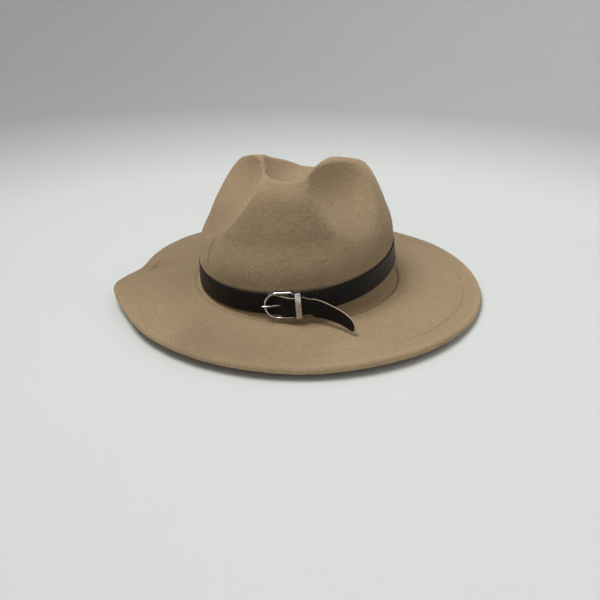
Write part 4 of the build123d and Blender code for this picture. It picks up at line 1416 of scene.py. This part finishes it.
def floor_material():
    m = Shader("floor_paper", Roughness=0.7, Specular_IOR_Level=0.25)
    # painted shade: the paper turns darker grey as it rises into the wall, standing in for the weaker light there
    rise = m.ramp(m.math("MULTIPLY", m.axes()["Z"], 5.0), 0.02, 0.45)
    paper = m.mix(m.noise(300.0, detail=2.0), srgb(216, 218, 216), srgb(220, 222, 220))
    m.set("Base Color", m.mix(rise, paper, srgb(172, 172, 171)))
    # from below the floor is clear, so the underside can be looked at
    mixer = m.node("MixShader")
    m.feed(mixer.inputs[0], m.node("NewGeometry").outputs["Backfacing"])
    m.feed(mixer.inputs[1], m.surface.outputs[0])
    m.feed(mixer.inputs[2], m.node("BsdfTransparent").outputs[0])
    m.feed(m.output.inputs["Surface"], mixer.outputs[0])
    return m.material


def build_floor():
    columns = 96
    circles = shell([(radius, radius, z) for radius, z in FLOOR_PROFILE], columns)
    verts = np.concatenate([[(0.0, 0.0, 0.0)], circles.reshape(-1, 3)])
    faces = [[0, 1 + k, 1 + (k + 1) % columns] for k in range(columns)]
    faces += (grid_faces(len(FLOOR_PROFILE), columns)[:, [0, 3, 2, 1]] + 1).tolist()
    floor = make_mesh("floor", verts, faces)
    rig.stage(floor)
    floor.data.materials.append(floor_material())


# ------------------------------------------------------------------ light and camera
def add_key_light():
    """Square light above the wearer's right, aimed at the hat (metres, watts)."""
    place, target = Vector((-0.56, -0.26, 1.38)), Vector((0, 0.0, 0.03))
    light = bpy.data.lights.new("key", "AREA")
    light.energy = 25.5
    light.shape = "RECTANGLE"
    light.size = light.size_y = 0.95
    ob = bpy.data.objects.new("key", light)
    bpy.context.scene.collection.objects.link(ob)
    ob.location = place
    ob.rotation_euler = (target - place).to_track_quat("-Z", "Y").to_euler()
    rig.stage(ob)


def add_world():
    world = bpy.data.worlds.new("studio")
    bpy.context.scene.world = world
    world.use_nodes = True
    background = world.node_tree.nodes["Background"]
    background.inputs["Color"].default_value = (0.86, 0.88, 0.9, 1)
    background.inputs["Strength"].default_value = 0.40


def add_camera():
    """Camera in front of the hat, turned a little to +X and looking down."""
    turn, tilt, roll = map(math.radians, (11.3, 24.6, 1.0))
    distance, shift_right, target_z = 562.7, 1.7, -20.2  # mm
    flat = math.cos(tilt)
    back = np.array([math.sin(turn) * flat, -math.cos(turn) * flat, math.sin(tilt)])
    right = np.array([math.cos(turn), math.sin(turn), 0])
    up = np.cross(back, right)
    place = right * shift_right + np.array([0, 0, target_z]) + back * distance
    axes = (
        right * math.cos(roll) + up * math.sin(roll),
        -right * math.sin(roll) + up * math.cos(roll),
        back,
        place * MM,
    )
    data = bpy.data.cameras.new("camera")
    data.lens = 36.0
    data.sensor_width = 36.0
    data.sensor_fit = "HORIZONTAL"
    data.clip_start = 0.02
    data.clip_end = 20.0
    camera = bpy.data.objects.new("camera", data)
    bpy.context.scene.collection.objects.link(camera)
    matrix = Matrix.Identity(4)
    for i in range(3):
        for j, axis in enumerate(axes):
            matrix[i][j] = axis[i]
    camera.matrix_world = matrix
    bpy.context.scene.camera = camera


build_floor()
add_key_light()
add_world()
bpy.context.scene.view_settings.view_transform = "Standard"
bpy.context.scene.view_settings.look = "None"
add_camera()

AFTER = [list(map(float, v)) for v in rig.bounds()]
# the folder may be missing, and the sizes are only a by-product
try:
    with open("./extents.json", "w") as fh:
        json.dump({"cad": CAD_BOX, "visual": AFTER}, fh)
except OSError:
    pass
